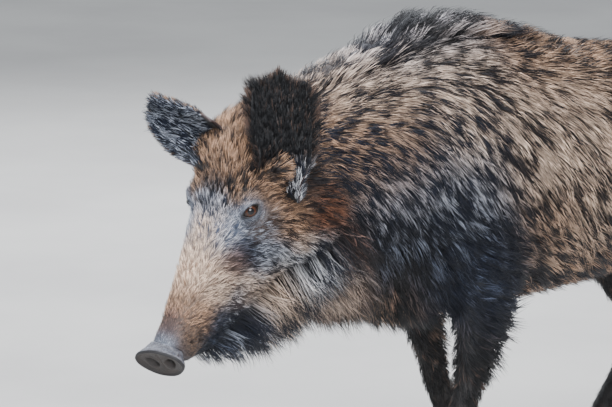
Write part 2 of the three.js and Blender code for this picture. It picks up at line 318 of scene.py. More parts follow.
def coatDepth(points, normals, shares, plan):
    depth = sum(shares[part] * amount for part, amount in plan["depth"].items())
    left, back, _ = toBody(points)
    station, height, _ = toHead(points)
    onBody = shares["trunk"] + shares["neck"]
    onHead = np.clip(shares["head"] + shares["jaw"], 0, 1)
    ridge = onBody * bell(left, 42) * smooth(0.4, 0.9, normals[:, 2]) * (1 - smooth(150, 600, back))
    snout = onHead * smooth(62, 22, station)
    beard = onHead * smooth(40, 110, station) * smooth(-20, -150, height + 0.1 * station)
    cheek = onHead * smooth(220, 290, station) * smooth(60, 20, height) * (1 - beard)
    forehead = onHead * smooth(250, 300, station) * smooth(20, 60, height)
    claims = [(ridge, "mane"), (snout, "snout"), (beard, "beard"), (cheek, "cheek"), (forehead, "forehead")]
    for place in eyePlaces.values():
        claims.append((1 - smooth(0.022, 0.052, np.linalg.norm(points - place, axis=1)), "eye"))
    for share, name in claims:
        depth += share * (plan[name + "Depth"] - depth)
    return depth / 1000


def drawIn(mesh, shares, plan):
    edges = meshEdges(mesh)
    outer = meshPoints(mesh)
    footLevel = smooth(0.05, 0.12, outer[:, 2])
    points = outer + (spread(outer, edges, 5) - outer) * footLevel[:, None]
    setPoints(mesh, points)
    depth = spread(coatDepth(points, meshNormals(mesh), shares, plan), edges, 8)
    for _ in range(plan["steps"]):
        points = points - meshNormals(mesh) * (depth / plan["steps"] * footLevel)[:, None]
        points = spread(points, edges, 2, 0.45 * footLevel)
        setPoints(mesh, points)


def splitFaces(form, balls):
    near = [face for face in form.faces
            if any((face.calc_center_median() - place).length < radius for radius, place in balls)]
    edges = {edge for face in near for edge in face.edges}
    bmesh.ops.subdivide_edges(form, edges=list(edges), cuts=1, use_grid_fill=True)


eyePlan = {
    # the ways the slit looks and runs, and the gaze: behind the disc, above and to the side
    "out": (-0.22, 0.44, 0.86), "corners": (0.90, -0.29, 0.37), "look": (-0.28, 0.58, 0.76),
    "radius": 0.014, "open": 12.4, "upper": 7.4, "lower": 6.4, "lid": 1.7, "reach": (30, 42), "soft": 3.2,
    "brow": {"across": 2, "above": 19, "long": 17, "wide": 8, "high": 6.5},
    "folds": ((19.0, -1.5), (22.0, 1.2), (25.5, -1.1)), "foldWide": 1.5,
    "rim": {"high": 0.9, "out": 1.2, "wide": 1.1}, "sunk": 3.5,
    "tear": {"long": 17, "wide": 2.4, "deep": 1.8, "slope": 0.58, "soft": 3},
    "cornea": {"high": 0.05, "wide": 0.2},
}


def eyeAxes(side, plan):
    station, height, aside = plan["out"]
    out = unit(headWay((station, height, sides[side] * aside)))[0]
    station, height, aside = plan["corners"]
    along = headWay((station, height, sides[side] * aside))[0]
    along = unit(along - out * (along @ out))
    up = np.cross(along, out) * -sides[side]
    return out, along, up


def eyeSpots(points, side, plan):
    # millimetres out of the eye's centre, along its slit and above it
    away = (points - eyePlaces[side]) * 1000
    out, along, up = eyeAxes(side, plan)
    return away @ out, away @ along, away @ up


def tearAt(x, y, plan):
    # the line that runs down the face from the eye's front corner
    tear, start = plan["tear"], -plan["open"]
    line = bell(y - tear["slope"] * (x + plan["open"]), tear["wide"])
    return line * band(start - tear["long"], start, tear["soft"], x)


def shapeLids(points, plan):
    radius = plan["radius"] * 1000
    lidRadius = radius + plan["lid"]
    brow, rimPlan, soft = plan["brow"], plan["rim"], plan["soft"]
    for side, centre in eyePlaces.items():
        out, along, up = eyeAxes(side, plan)
        outward, x, y = eyeSpots(points, side, plan)
        aside = np.hypot(x, y)
        near = (1 - smooth(*plan["reach"], aside)) * smooth(-16, -6, outward)
        dome = np.sqrt(np.maximum(lidRadius**2 - aside**2, 0))
        ball = np.where(aside < lidRadius, dome, (lidRadius - aside) * 1.1)
        height = soft * np.log(np.exp(outward / soft) + np.exp(ball / soft))  # the lids run into the face
        fromBrow = np.hypot((x - brow["across"]) / brow["long"], (y - brow["above"]) / brow["wide"])
        height += brow["high"] * bell(fromBrow, 1)
        for distance, rise in plan["folds"]:
            height += rise * bell(aside - distance, plan["foldWide"]) * smooth(3, -5, y)
        height -= plan["tear"]["deep"] * tearAt(x, y, plan)
        moved = points + out * ((height - outward) * near / 1000)[:, None]
        away = (moved - centre) * 1000
        way = unit(away)
        x, y = way @ along * radius, way @ up * radius
        slit = np.clip(np.abs(x) / plan["open"], 0, 1)
        edge = np.where(y > 0, plan["upper"], plan["lower"]) * (1 - slit**2.2) ** 0.75
        front = smooth(0, 4, away @ out)
        openness = (1 - smooth(-0.8, 0.5, np.abs(y) - edge)) * (slit < 1) * front * near
        rim = rimPlan["high"] * bell(np.abs(y) - edge - rimPlan["out"], rimPlan["wide"])
        rim = rim * (np.abs(x) < plan["open"] + 2) * front * near
        reach = np.linalg.norm(away, axis=1) + rim
        reach = reach + (radius - plan["sunk"] - reach) * openness
        points = centre + way * (reach / 1000)[:, None]
    return points


mouthPlan = {"front": (8, -31), "corner": (142, -54), "depth": 4.0, "width": 3.5, "lipOver": 2.5, "lip": 2.2}


def shapeMouth(points, normals, plan):
    # a groove along the lips, with the upper lip over the lower one
    station, height, _ = toHead(points)
    (frontStation, frontHeight), (rearStation, rearHeight) = plan["front"], plan["corner"]
    run, fall = rearStation - frontStation, rearHeight - frontHeight
    below = frontHeight + fall * (station - frontStation) / run - height
    sideways = np.abs(normals @ headWay((0, 0, 1))[0])
    onSide = band(frontStation - 6, rearStation, 8, station) * smooth(0.25, 0.6, sideways)
    over = plan["lipOver"] * smooth(0, 6, below) * (1 - smooth(18, 40, below))
    groove = plan["depth"] * bell(below, plan["width"]) + over
    return points - normals * ((groove - plan["lip"] * bell(below + 7, 6)) * onSide / 1000)[:, None]


def smoothShaded(mesh):
    mesh.polygons.foreach_set("use_smooth", [True] * len(mesh.polygons))


def makeSkin(plan):
    mesh = remeshed(joinedFlesh(plan), plan["voxel"])
    say(f"flesh joined, {len(mesh.vertices)} vertices")
    drawIn(mesh, partShares(mesh, plan), plan)
    say("skin drawn in under the coat")
    form = bmesh.new()
    form.from_mesh(mesh)
    splitFaces(form, [(radius, Vector(fromHead(place)[0])) for radius, place in plan["finer"]])
    for radius in plan["eyeFiner"]:
        splitFaces(form, [(radius, Vector(place)) for place in eyePlaces.values()])
    mesh = meshOf(form, "boarSkin")
    points = spread(meshPoints(mesh), meshEdges(mesh), 2, 0.4)
    setPoints(mesh, points)
    shares = partShares(mesh, plan)
    points = shapeMouth(points, meshNormals(mesh), mouthPlan)
    setPoints(mesh, shapeLids(points, eyePlan))
    smoothShaded(mesh)
    skin = linked("boarSkin", mesh)
    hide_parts(*fleshNodes)
    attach(skin, "root")
    say(f"skin, {len(mesh.vertices)} vertices")
    return skin, shares


skin, skinShares = makeSkin(skinPlan)


def putInOrder(items, placeOf):
    # some operators leave vertices and faces in an order that varies from run to run
    for k, item in enumerate(sorted(items, key=placeOf)):
        item.index = k
    items.sort()


def vertPlace(vert):
    return tuple(vert.co)


def facePlace(face):
    return tuple(face.calc_center_median())


def finished(form, name, replaced):
    putInOrder(form.verts, vertPlace)
    putInOrder(form.faces, facePlace)
    bmesh.ops.recalc_face_normals(form, faces=form.faces)
    if form.calc_volume(signed=True) < 0:
        bmesh.ops.reverse_faces(form, faces=form.faces)
    piece = linked(name, meshOf(form, name))
    smoothShaded(piece.data)
    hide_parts(replaced)
    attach(piece, "root")
    return piece


def makeEye(side, plan):
    # the ball's pole looks along the gaze, so that its own map holds the iris
    station, height, aside = plan["look"]
    gaze = Vector(headWay((station, height, sides[side] * aside))[0])
    cornea = plan["cornea"]
    form = bmesh.new()
    layer = form.verts.layers.float.new("gaze")
    bmesh.ops.create_uvsphere(form, u_segments=64, v_segments=40, radius=1)
    for vert in form.verts:
        vert[layer] = vert.co.z
        bulge = 1 + cornea["high"] * math.exp(-(((1 - vert.co.z) / cornea["wide"]) ** 2))
        vert.co *= plan["radius"] * bulge
    pose = Matrix.Translation(eyePlaces[side]) @ gaze.to_track_quat("Z", "Y").to_matrix().to_4x4()
    bmesh.ops.transform(form, matrix=pose, verts=form.verts)
    return finished(form, "eyeball_" + side, "eye_" + side)


eyes = [makeEye(side, eyePlan) for side in sides]

earPlan = {
    "root": (326, 54, 78), "long": 146, "thick": 0.0055, "sunk": 46, "lobeDrop": 0.1, "inset": 9,
    "left": {"rootShift": 14, "lean": -3, "longer": 0.99, "moved": (0, 0, 0),
             "tip": (-0.04, 0.1, 0.99), "opening": (0.8, -0.6, -0.1),
             "halves": ((-0.2, 36), (0.02, 48), (0.26, 55), (0.52, 57), (0.77, 52), (0.93, 42), (1, 30))},
    "right": {"rootShift": 4, "lean": 9, "longer": 0.97, "moved": (6, 14, -13),
              "tip": (-0.94, 0.13, 0.23), "opening": (-0.08, -0.98, 0.15),
              "halves": ((-0.2, 52), (0.06, 48), (0.24, 44), (0.42, 39), (0.6, 34), (0.78, 27), (0.9, 22),
                         (1, 19))},
    "curl": (84, 34),  # degrees from the middle to the margin, at the root and the tip
}


def earAxes(side, plan):
    tip, opening = (unit(np.array(plan[side][way])) for way in ("tip", "opening"))
    back = -opening
    back = unit(back - tip * (back @ tip))
    return np.cross(back, tip), back, tip


def earPlace(side, plan, along, across):
    # a point of the ear's shell, from its root to its tip and from one margin to the other
    own = plan[side]
    station, height, aside = plan["root"]
    root = fromHead(np.array((station, height, sides[side] * aside)) + own["moved"])[0]
    wide, back, tip = earAxes(side, plan)
    hind = np.sign(wide[1])
    shares, halves = np.array(own["halves"]).T
    share = -0.3 + along * 1.2 - plan["lobeDrop"] * smooth(0, 1, across * hind) * smooth(0.6, 0.1, along)
    half = (np.interp(share, shares, halves) - plan["inset"]).clip(4)
    half = half * np.sqrt(1 - 0.9 * smooth(0.84, 1.0, along))
    curl = np.radians(plan["curl"][0] + (plan["curl"][1] - plan["curl"][0]) * smooth(0, 0.6, along))
    radius = half / np.sin(curl)
    angle = curl * across
    shift = own["rootShift"] * (1 - smooth(-0.2, 0.55, share)) + own["lean"] * smooth(0.4, 1, share)
    x = radius * np.sin(angle) + shift * hind
    y = 6 - radius * (1 - np.cos(angle)) + 9 * smooth(0.55, 1, along) ** 2
    y = y + 1.5 * np.sin(across * 9) * smooth(0.75, 0.3, along) * (1 - np.abs(across))
    z = share * plan["long"] * own["longer"] - 10 * np.maximum(along - 0.9, 0) * np.abs(across) * 10
    inward = headWay((0.05, -0.3, -sides[side]))[0] * plan["sunk"]
    places = root + (wide * x[:, None] + back * y[:, None] + tip * z[:, None]) / 1000
    sinking = smooth(0.16, -0.3, share) * (1 - 0.75 * smooth(0, 0.8, across * hind))
    return places + inward * sinking[:, None] / 1000


def makeEar(side, plan):
    form = bmesh.new()
    layers = form.verts.layers.float
    inner, alongLayer, acrossLayer = (layers.new(name) for name in ("inside", "along", "across"))
    bmesh.ops.create_grid(form, x_segments=30, y_segments=36, size=1)
    for vert in form.verts:
        vert[acrossLayer], vert[alongLayer] = vert.co.x, (vert.co.y + 1) / 2

    def place(points):
        return earPlace(side, plan, (points[:, 1] + 1) / 2, points[:, 0])

    mapped(form.verts, place)
    bmesh.ops.recalc_face_normals(form, faces=form.faces)
    outward = Vector(earAxes(side, plan)[1])
    if sum(face.normal.dot(outward) for face in form.faces) < 0:
        bmesh.ops.reverse_faces(form, faces=form.faces)
    front = set(form.verts)
    bmesh.ops.solidify(form, geom=form.faces[:], thickness=plan["thick"])
    for vert in form.verts:
        vert[inner] = 0.0 if vert in front else 1.0
    bmesh.ops.smooth_vert(
        form, verts=form.verts, factor=0.5, use_axis_x=True, use_axis_y=True, use_axis_z=True)
    return finished(form, "earShell_" + side, "ear_" + side)


ears = {side: makeEar(side, earPlan) for side in sides}

discPlan = {
    "half": 43, "top": 26, "under": 29, "taper": 0.2, "leanUp": 0.2, "leanAside": 0.16, "corners": 2.35,
    "profile": ((0.66, 26), (0.82, 13), (0.93, 6.5), (0.985, 3.4), (1.0, 1.0), (0.985, -1.2), (0.94, -1.8),
                (0.87, 0.8), (0.6, 3.6), (0.0, 3.2)),
    "nostrils": {"aside": 15.5, "height": -3, "wide": 9.0, "high": 9.5, "depth": 15, "tilt": 0.3},
}


def squareness(x, y, power):
    # how far a rounded square reaches in each direction of a circle
    return (np.abs(x) ** power + np.abs(y) ** power) ** (-1 / power)


def makeDisc(plan):
    form = bmesh.new()
    layers = [form.verts.layers.float.new(name) for name in ("rim", "hollow")]
    bmesh.ops.create_uvsphere(form, u_segments=120, v_segments=72, radius=1)
    shares, stations = np.array(plan["profile"]).T
    steps = np.linspace(0, 1, len(shares))
    hole = plan["nostrils"]
    rims, hollows = np.zeros(len(form.verts)), np.zeros(len(form.verts))

    def place(points):
        turn = np.arctan2(points[:, 1], points[:, 0])
        along = 1 - np.arccos(points[:, 2].clip(-1, 1)) / math.pi
        share = np.interp(along, steps, shares)
        station = np.interp(along, steps, stations)
        square = squareness(np.cos(turn), np.sin(turn), plan["corners"])
        aside = plan["half"] * share * square * np.cos(turn)
        aside = aside * (1 - plan["taper"] * smooth(0, -1, np.sin(turn)))
        height = share * square * np.sin(turn)
        height = height * np.where(height > 0, plan["top"], plan["under"])
        height = height + 2.2 * bell(aside, 14) * smooth(0.5, 1, share) * (np.sin(turn) > 0)
        front = smooth(0.6, 0.8, along)
        for side in sides.values():
            outward = aside * side - hole["aside"]
            upward = height - hole["height"] - hole["tilt"] * outward
            away = np.hypot(outward / hole["wide"], upward / hole["high"])
            lip = 1.1 * bell(away - 1.3, 0.25)
            station = station + front * (hole["depth"] * (1 - smooth(0.55, 1.05, away)) - lip)
            # hollows marks the nostrils' insides, which the leather paints near black as painted shade
            hollows[:] = np.maximum(hollows, front * (1 - smooth(0.5, 1.0, away)))
        station = station + front * 0.8 * bell(aside, 2.5) * smooth(-24, -6, height)
        rims[:] = np.where(along > 0.4, share, 1.2)
        lean = (plan["leanUp"] * height + plan["leanAside"] * aside) * smooth(26, 6, station)
        return fromHead(*np.stack([station + lean, height, aside], axis=1))

    mapped(form.verts, place)
    for vert, rim, hollow in zip(form.verts, rims, hollows):
        vert[layers[0]], vert[layers[1]] = rim, hollow
    return finished(form, "snoutDisc", "nose_disc")


disc = makeDisc(discPlan)

hoofPlan = {
    "back": {"fore_left": -62, "fore_right": 168, "hind_left": 694, "hind_right": 520},
    "spread": 98, "hoofAside": 15.5, "dewclawAside": 19, "corners": 2.3, "under": 0.4,
    # rings from the ground up: height, half width, reach to the front and rear, and the middle's place
    "hoof": ((0, 13.5, 40, 26, -6), (8, 13.8, 38, 27, -4), (30, 12.8, 30, 25, -2), (46, 11.6, 22, 21, 0)),
    "dewclaw": ((24, 5, 5, 4, 46), (34, 8, 10, 7, 44), (48, 9, 16, 9, 41), (70, 8, 22, 7, 35)),
}


def makeHoof(place, side, part, kind, plan):
    heights, halves, fronts, rears, backs = np.array(plan[kind], float).T
    toe = -1 if part == "inner" else 1
    aside = sides[side] * (plan["spread"] + toe * plan[kind + "Aside"])
    form = bmesh.new()
    bmesh.ops.create_cone(form, segments=28, radius1=1, radius2=1, depth=2, cap_ends=True, cap_tris=False)
    rails = [edge for edge in form.edges if abs(edge.verts[0].co.z - edge.verts[1].co.z) > 1]
    bmesh.ops.subdivide_edges(form, edges=rails, cuts=13)

    def shape(points):
        height = heights[0] + (points[:, 2] + 1) / 2 * (heights[-1] - heights[0])
        half, front, rear, back = (np.interp(height, heights, row) for row in (halves, fronts, rears, backs))
        ring = 0.35 * np.sin(height * 1.1) * (kind == "hoof")
        square = squareness(points[:, 0], points[:, 1], plan["corners"])
        x, y = points[:, 0] * square, points[:, 1] * square
        flat = np.where(x * toe * sides[side] < 0, 0.9, 1)  # the cleft side is the flatter
        left = aside + x * (half * flat - plan["under"] + ring)
        depth = y * (np.where(y < 0, front, rear) - plan["under"] + ring)
        narrow = 1 - 0.35 * smooth(0, -1, y) ** 2
        left = aside + (left - aside) * narrow
        return fromBody(*np.stack([left, plan["back"][place + "_" + side] + back + depth, height], axis=1))

    mapped(form.verts, shape)
    rim = [edge for edge in form.edges if any(len(face.verts) > 4 for face in edge.link_faces)]
    bmesh.ops.bevel(form, geom=rim, offset=0.0008, affect="EDGES", segments=2, profile=0.5, material=-1)
    node = f"{kind}_{place}_{side}_{part}"
    return finished(form, "horn_" + node, node)


hooves = [makeHoof(place, side, part, kind, hoofPlan)
          for place, side in fourFeet for part in ("inner", "outer") for kind in ("hoof", "dewclaw")]
say("eyes, ears, snout disc and hooves")


# Colours are named once and are used by the skin and the coat alike.
def colour(code):
    parts = np.array([int(code[k:k + 2], 16) / 255 for k in (0, 2, 4)])
    return np.where(parts <= 0.04045, parts / 12.92, ((parts + 0.055) / 1.055) ** 2.4)


shades = {name: colour(code) for name, code in {
    # blueBlack is black hair with a painted blue sheen, the sky's reflection, in its colour; slate is that
    # painted sheen paler, a painted highlight on dark hair
    "cream": "E8CDB6", "tan": "BA9476", "rust": "8A5A40", "umber": "57443A", "darkBrown": "211A1B",
    "black": "08080B", "blueBlack": "121929", "slate": "465166", "silver": "B2B8C4", "pale": "D4D6DA",
    "rose": "8C6C66",
}.items()}

# Each marking's place and reach, its pale and dark hairs and the share of pale ones, alike on both sides.
headMarks = {
    "rimPatch": (20, 24, 0, 18, "silver", "slate", 0.8), "rimSide": (16, 0, 36, 16, "slate", "umber", 0.5),
    "snoutRust": (56, 28, 6, 17, "rose", "darkBrown", 0.5), "snoutTop": (86, 31, 0, 24, "tan", "umber", 0.7),
    # bridge and bridgeTop: cream hair, with a painted highlight on the snout's upper side in their high pale
    # share
    "bridge": (130, 40, 0, 32, "cream", "tan", 0.8), "bridgeTop": (188, 54, 0, 32, "cream", "slate", 0.76),
    "foreheadEdge": (232, 66, 0, 22, "silver", "blueBlack", 0.55),
    "bridgeSide": (196, 40, 34, 20, "silver", "slate", 0.6),
    "muzzleSide": (80, 12, 36, 25, "tan", "umber", 0.62),
    "muzzleRear": (132, 6, 46, 26, "cream", "umber", 0.66),
    "lipFront": (44, -14, 36, 17, "tan", "darkBrown", 0.45),
    "lipLine": (98, -30, 44, 17, "slate", "blueBlack", 0.45),
    "lipRear": (140, -34, 48, 16, "silver", "blueBlack", 0.5),
    "chin": (60, -60, 10, 30, "slate", "blueBlack", 0.3),
    "jaw": (112, -84, 34, 30, "silver", "blueBlack", 0.25),
    "jawRear": (170, -124, 50, 32, "cream", "blueBlack", 0.4),
    "cheekBrown": (172, 12, 52, 18, "rose", "umber", 0.5),
    "cheekFront": (196, 4, 58, 20, "slate", "blueBlack", 0.5),
    "cheekTan": (152, -42, 54, 24, "cream", "umber", 0.62),
    "cheekTanRear": (186, -84, 66, 28, "cream", "darkBrown", 0.55),
    "cheek": (205, -40, 66, 28, "silver", "blueBlack", 0.54),
    "tearLine": (215, 31, 49, 12, "silver", "slate", 0.5),
    "eyeRing": (249, 40, 62, 15, "silver", "slate", 0.55),
    "eyeFore": (226, 46, 46, 13, "silver", "slate", 0.65),
    "underEye": (236, 6, 64, 18, "silver", "umber", 0.5), "brow": (262, 64, 46, 17, "tan", "black", 0.42),
    "browRear": (280, 40, 76, 17, "tan", "umber", 0.55),
    "upperCheek": (258, -18, 82, 20, "tan", "darkBrown", 0.5),
    "palePatch": (250, -60, 88, 13, "cream", "umber", 0.72),
    "cheekTop": (280, -4, 89, 17, "tan", "umber", 0.66),
    "underEar": (306, 2, 96, 17, "umber", "darkBrown", 0.45),
    "rustStreak": (304, -60, 106, 24, "rust", "darkBrown", 0.45),
    "rustRear": (304, -130, 106, 26, "rust", "darkBrown", 0.35),
    "crescent": (222, -72, 70, 18, "pale", "blueBlack", 0.55),
    "whisker": (250, -110, 92, 32, "pale", "blueBlack", 0.42),
    "ruff": (256, -180, 80, 34, "cream", "umber", 0.7),
    "foreheadLow": (268, 78, 8, 20, "umber", "black", 0.5),
    "forehead": (300, 84, 10, 30, "tan", "darkBrown", 0.62),
    "crown": (350, 76, 0, 36, "tan", "darkBrown", 0.62), "temple": (322, 60, 60, 26, "tan", "black", 0.4),
    "templeSide": (306, 30, 84, 20, "tan", "darkBrown", 0.5),
}
bodyMarks = {
    "crest": (0, -180, 830, 60, "silver", "blueBlack", 0.36), "mane": (0, 0, 850, 80, "silver", "black", 0.3),
    "maneRear": (0, 140, 830, 70, "umber", "blueBlack", 0.45),
    "neckTop": (70, -190, 760, 60, "cream", "darkBrown", 0.62),
    "neckSide": (120, -200, 670, 70, "tan", "blueBlack", 0.42),
    "neckMid": (125, -190, 590, 60, "silver", "blueBlack", 0.42),
    "neckLow": (110, -190, 500, 70, "slate", "black", 0.32),
    "throat": (60, -190, 430, 50, "tan", "black", 0.38), "chest": (0, -180, 380, 60, "tan", "black", 0.38),
    "shoulderTop": (95, 0, 760, 70, "cream", "darkBrown", 0.6),
    "shoulderUpper": (130, -40, 690, 60, "cream", "blueBlack", 0.48),
    "shoulder": (150, -60, 600, 70, "silver", "blueBlack", 0.42),
    "shoulderLow": (150, -20, 490, 80, "slate", "blueBlack", 0.34),
    "shoulderRear": (150, 80, 640, 70, "cream", "darkBrown", 0.52),
    "behindShoulder": (160, 130, 520, 60, "tan", "darkBrown", 0.5),
    "elbow": (140, 40, 400, 60, "slate", "blueBlack", 0.24),
    "foreleg": (110, 0, 280, 90, "umber", "black", 0.2),
    "forefoot": (100, 20, 90, 110, "umber", "black", 0.12),
    "backFront": (60, 200, 800, 110, "tan", "darkBrown", 0.6),
    "back": (50, 480, 780, 130, "tan", "darkBrown", 0.5),
    "flankTop": (160, 200, 680, 100, "cream", "darkBrown", 0.58),
    "flank": (175, 230, 520, 100, "cream", "darkBrown", 0.5),
    "flankRear": (170, 430, 600, 130, "tan", "darkBrown", 0.5),
    "belly": (0, 250, 380, 110, "tan", "darkBrown", 0.45),
    "bellySide": (120, 260, 410, 80, "tan", "blueBlack", 0.4),
    "rump": (90, 680, 700, 120, "tan", "darkBrown", 0.45),
    "thigh": (150, 600, 520, 110, "umber", "darkBrown", 0.4),
    "hindleg": (110, 640, 280, 110, "umber", "black", 0.2),
    "hindfoot": (100, 620, 90, 110, "umber", "black", 0.12), "tail": (0, 790, 560, 70, "umber", "black", 0.3),
}


def markTable():
    # every marking's place, reach and values, on both sides
    places, reaches, values = [], [], []
    for marks, placed, asideRow in ((headMarks, fromHead, 2), (bodyMarks, fromBody, 0)):
        for *place, reach, pale, dark, share in marks.values():
            other = list(place)
            other[asideRow] *= -1
            for spot in [place] if other == place else [place, other]:
                places.append(placed(spot)[0])
                reaches.append(reach / 1000)
                values.append([*shades[pale], *shades[dark], share])
    return np.array(places), np.array(reaches), np.array(values)


def blended(points, places, reaches, values, least):
    # each point's mean of the values, weighed by how near their places are
    results, rows = [], 20000
    for start in range(0, len(points), rows):
        distance = np.linalg.norm(points[start:start + rows, None] - places, axis=2) / reaches
        weight = np.exp(-distance**2) + least / (0.05 + distance**4)
        results.append((weight / weight.sum(1, keepdims=True)) @ values)
    return np.vstack(results)


allMarks = markTable()


def markings(points):
    # the pale and dark colour and the pale share at each point
    found = blended(points, *allMarks, 0.002)
    return found[:, :3], found[:, 3:6], found[:, 6]


# The lie of the coat: places, and the way it points there.
headLie = (
    (60, 30, 0, 1, 0.05, 0), (150, 45, 0, 1, 0.05, 0), (230, 65, 0, 1, 0.05, 0), (290, 85, 0, 1, 0.2, 0),
    (350, 75, 0, 1, 0.2, 0), (20, 0, 34, 0.8, -0.5, 0), (60, 0, 36, 0.85, -0.5, 0),
    (130, 0, 46, 0.6, -0.8, 0), (215, 5, 60, 0.65, -0.75, 0), (180, -40, 58, 0.55, -0.83, 0),
    (280, 20, 85, 0.7, -0.6, 0.2), (310, 50, 80, 0.6, -0.5, 0.5), (265, 70, 45, 0.9, 0.25, 0.3),
    (250, -60, 90, 0.35, -0.93, 0.1), (310, -60, 105, 0.25, -0.97, 0.2), (260, -170, 90, 0.1, -1, 0.15),
    (150, -80, 40, 0.35, -0.93, 0.05), (120, -110, 10, 0.5, -0.8, 0), (50, -60, 0, 0.7, -0.7, 0),
    (190, -140, 20, 0.4, -0.9, 0),
)
bodyLie = (
    (0, -250, 790, 0, 0.85, 0.5), (0, -120, 840, 0, 0.9, 0.3), (0, 0, 850, 0, 0.95, 0.1),
    (0, 200, 810, 0, 1, 0), (0, 450, 790, 0, 1, -0.05), (0, 650, 740, 0, 1, -0.25), (0, 760, 640, 0, 0.3, -1),
    (60, -160, 800, 0.1, 0.9, -0.3), (70, -20, 815, 0.1, 0.8, -0.5), (100, -240, 730, 0.1, 0.9, -0.3),
    (110, -200, 650, 0.05, 0.55, -0.83), (120, -200, 560, 0.05, 0.5, -0.85), (60, -220, 430, 0, 0.45, -0.9),
    (0, -230, 380, 0, 0.3, -0.95), (105, -60, 750, 0.05, 0.45, -0.9), (105, 80, 760, 0.05, 0.52, -0.85),
    (150, -40, 650, 0, 0.38, -0.92), (155, 60, 600, 0, 0.42, -0.9), (160, -40, 480, 0, 0.85, -0.5),
    (160, 60, 440, 0, 0.97, -0.22), (140, 60, 390, 0, 0.97, -0.22), (130, 20, 330, 0, 0.75, -0.65),
    (120, 20, 230, 0, 0.3, -0.95), (100, 0, 100, 0, 0.1, -1), (170, 200, 680, 0, 0.52, -0.86),
    (175, 220, 560, 0, 0.5, -0.86), (175, 250, 450, 0, 0.75, -0.6), (100, 300, 380, 0, 0.95, -0.3),
    (0, 250, 370, 0, 1, -0.1), (160, 450, 650, 0, 0.75, -0.6), (160, 600, 560, 0, 0.5, -0.85),
    (130, 650, 420, 0, 0.4, -0.9), (110, 650, 250, 0, 0.3, -0.95), (100, 620, 100, 0, 0.1, -1),
    (0, 800, 600, 0, 0.1, -1),
)
liePlan = {"headReach": 0.055, "bodyReach": 0.09, "least": 0.001}


def lieOfCoat(points, normals, headShare):
    guides = (
        (headLie, fromHead, 2, "headReach", headShare),
        (bodyLie, fromBody, 0, "bodyReach", 1 - headShare),
    )
    ways = np.zeros_like(points)
    for rows, placed, asideRow, reach, share in guides:
        both = np.repeat(np.array(rows, float), 2, axis=0)
        both[1::2, [asideRow, asideRow + 3]] *= -1
        places, lies = placed(*both[:, :3]), both[:, 3:]
        lies = unit(headWay(*lies) if placed is fromHead else lies)
        ways += blended(points, places, liePlan[reach], lies, liePlan["least"]) * share[:, None]
    ways -= normals * (ways * normals).sum(1, keepdims=True)
    return unit(ways)


class Wire:
    # a node's output that takes part in sums
    def __init__(self, finish, socket):
        self.finish, self.socket = finish, socket

    def maths(self, operation, *values):
        return self.finish.node("ShaderNodeMath", {"operation": operation}, dict(enumerate(values)))

    def __add__(self, other):
        return self.maths("ADD", self, other)

    def __mul__(self, other):
        return self.maths("MULTIPLY", self, other)


class Finish:
    # a material with one main shader
    def __init__(self, name, **constants):
        self.material = bpy.data.materials.new(name)
        self.material.use_nodes = True
        self.tree = self.material.node_tree
        self.shader = self.tree.nodes["Principled BSDF"]
        for socket, value in constants.items():
            self.shader.inputs[socket.replace("_", " ")].default_value = value
        self.places = self.node("ShaderNodeTexCoord", output="Object")

    def node(self, kind, settings=None, inputs=None, output=0):
        made = self.tree.nodes.new(kind)
        for name, value in (settings or {}).items():
            setattr(made, name, value)
        for name, value in (inputs or {}).items():
            self.feed(made.inputs[name], value)
        return Wire(self, made.outputs[output])

    def feed(self, socket, value):
        if isinstance(value, Wire):
            self.tree.links.new(value.socket, socket)
        elif socket.type == "RGBA":
            socket.default_value = (*value[:3], 1)
        else:
            socket.default_value = value

    def set(self, name, value):
        self.feed(self.shader.inputs[name], value)

    def attribute(self, name, output="Fac"):
        return self.node("ShaderNodeAttribute", {"attribute_name": name}, output=output)

    def noise(self, scale, detail=3.0, stretch=None):
        vector = self.places
        if stretch:
            vector = self.node("ShaderNodeVectorMath", {"operation": "MULTIPLY"}, {0: vector, 1: stretch})
        inputs = {"Vector": vector, "Scale": scale, "Detail": detail, "Roughness": 0.55}
        return self.node("ShaderNodeTexNoise", None, inputs, "Fac")

    def cells(self, scale):
        inputs = {"Vector": self.places, "Scale": scale}
        return self.node("ShaderNodeTexVoronoi", {"feature": "DISTANCE_TO_EDGE"}, inputs, "Distance")

    def eased(self, value, low, high, first=0.0, last=1.0):
        return self.node("ShaderNodeMapRange", {"interpolation_type": "SMOOTHSTEP"}, {
            "Value": value, "From Min": low, "From Max": high, "To Min": first, "To Max": last})

    def mixed(self, amount, first, second):
        return self.node("ShaderNodeMix", {"data_type": "RGBA"}, {0: amount, 6: first, 7: second}, 2)

    def lit(self, shade, light):
        # a colour made lighter or darker by a number
        return self.node("ShaderNodeVectorMath", {"operation": "SCALE"}, {0: shade, "Scale": light})

    def bump(self, height, strength, distance, normal=None):
        inputs = {"Height": height, "Strength": strength, "Distance": distance}
        if normal:
            inputs["Normal"] = normal
        return self.node("ShaderNodeBump", None, inputs)


def coatFinish(name, plan):
    made = Finish(name)
    fine, broad = made.noise(plan["fine"], 2), made.noise(plan["broad"], 3)
    light = made.eased(fine, 0.3, 0.7, 0.82, 1.16) * made.eased(broad, 0.3, 0.7, 0.86, 1.12)
    made.set("Base Color", made.lit(made.attribute("tone", "Color"), light))
    made.set("Roughness", made.eased(broad, 0.3, 0.7, *plan["rough"]))
    made.set("Normal", made.bump(fine, 0.25, 0.0006))
    made.set("Specular IOR Level", plan["sheen"])
    return made.material


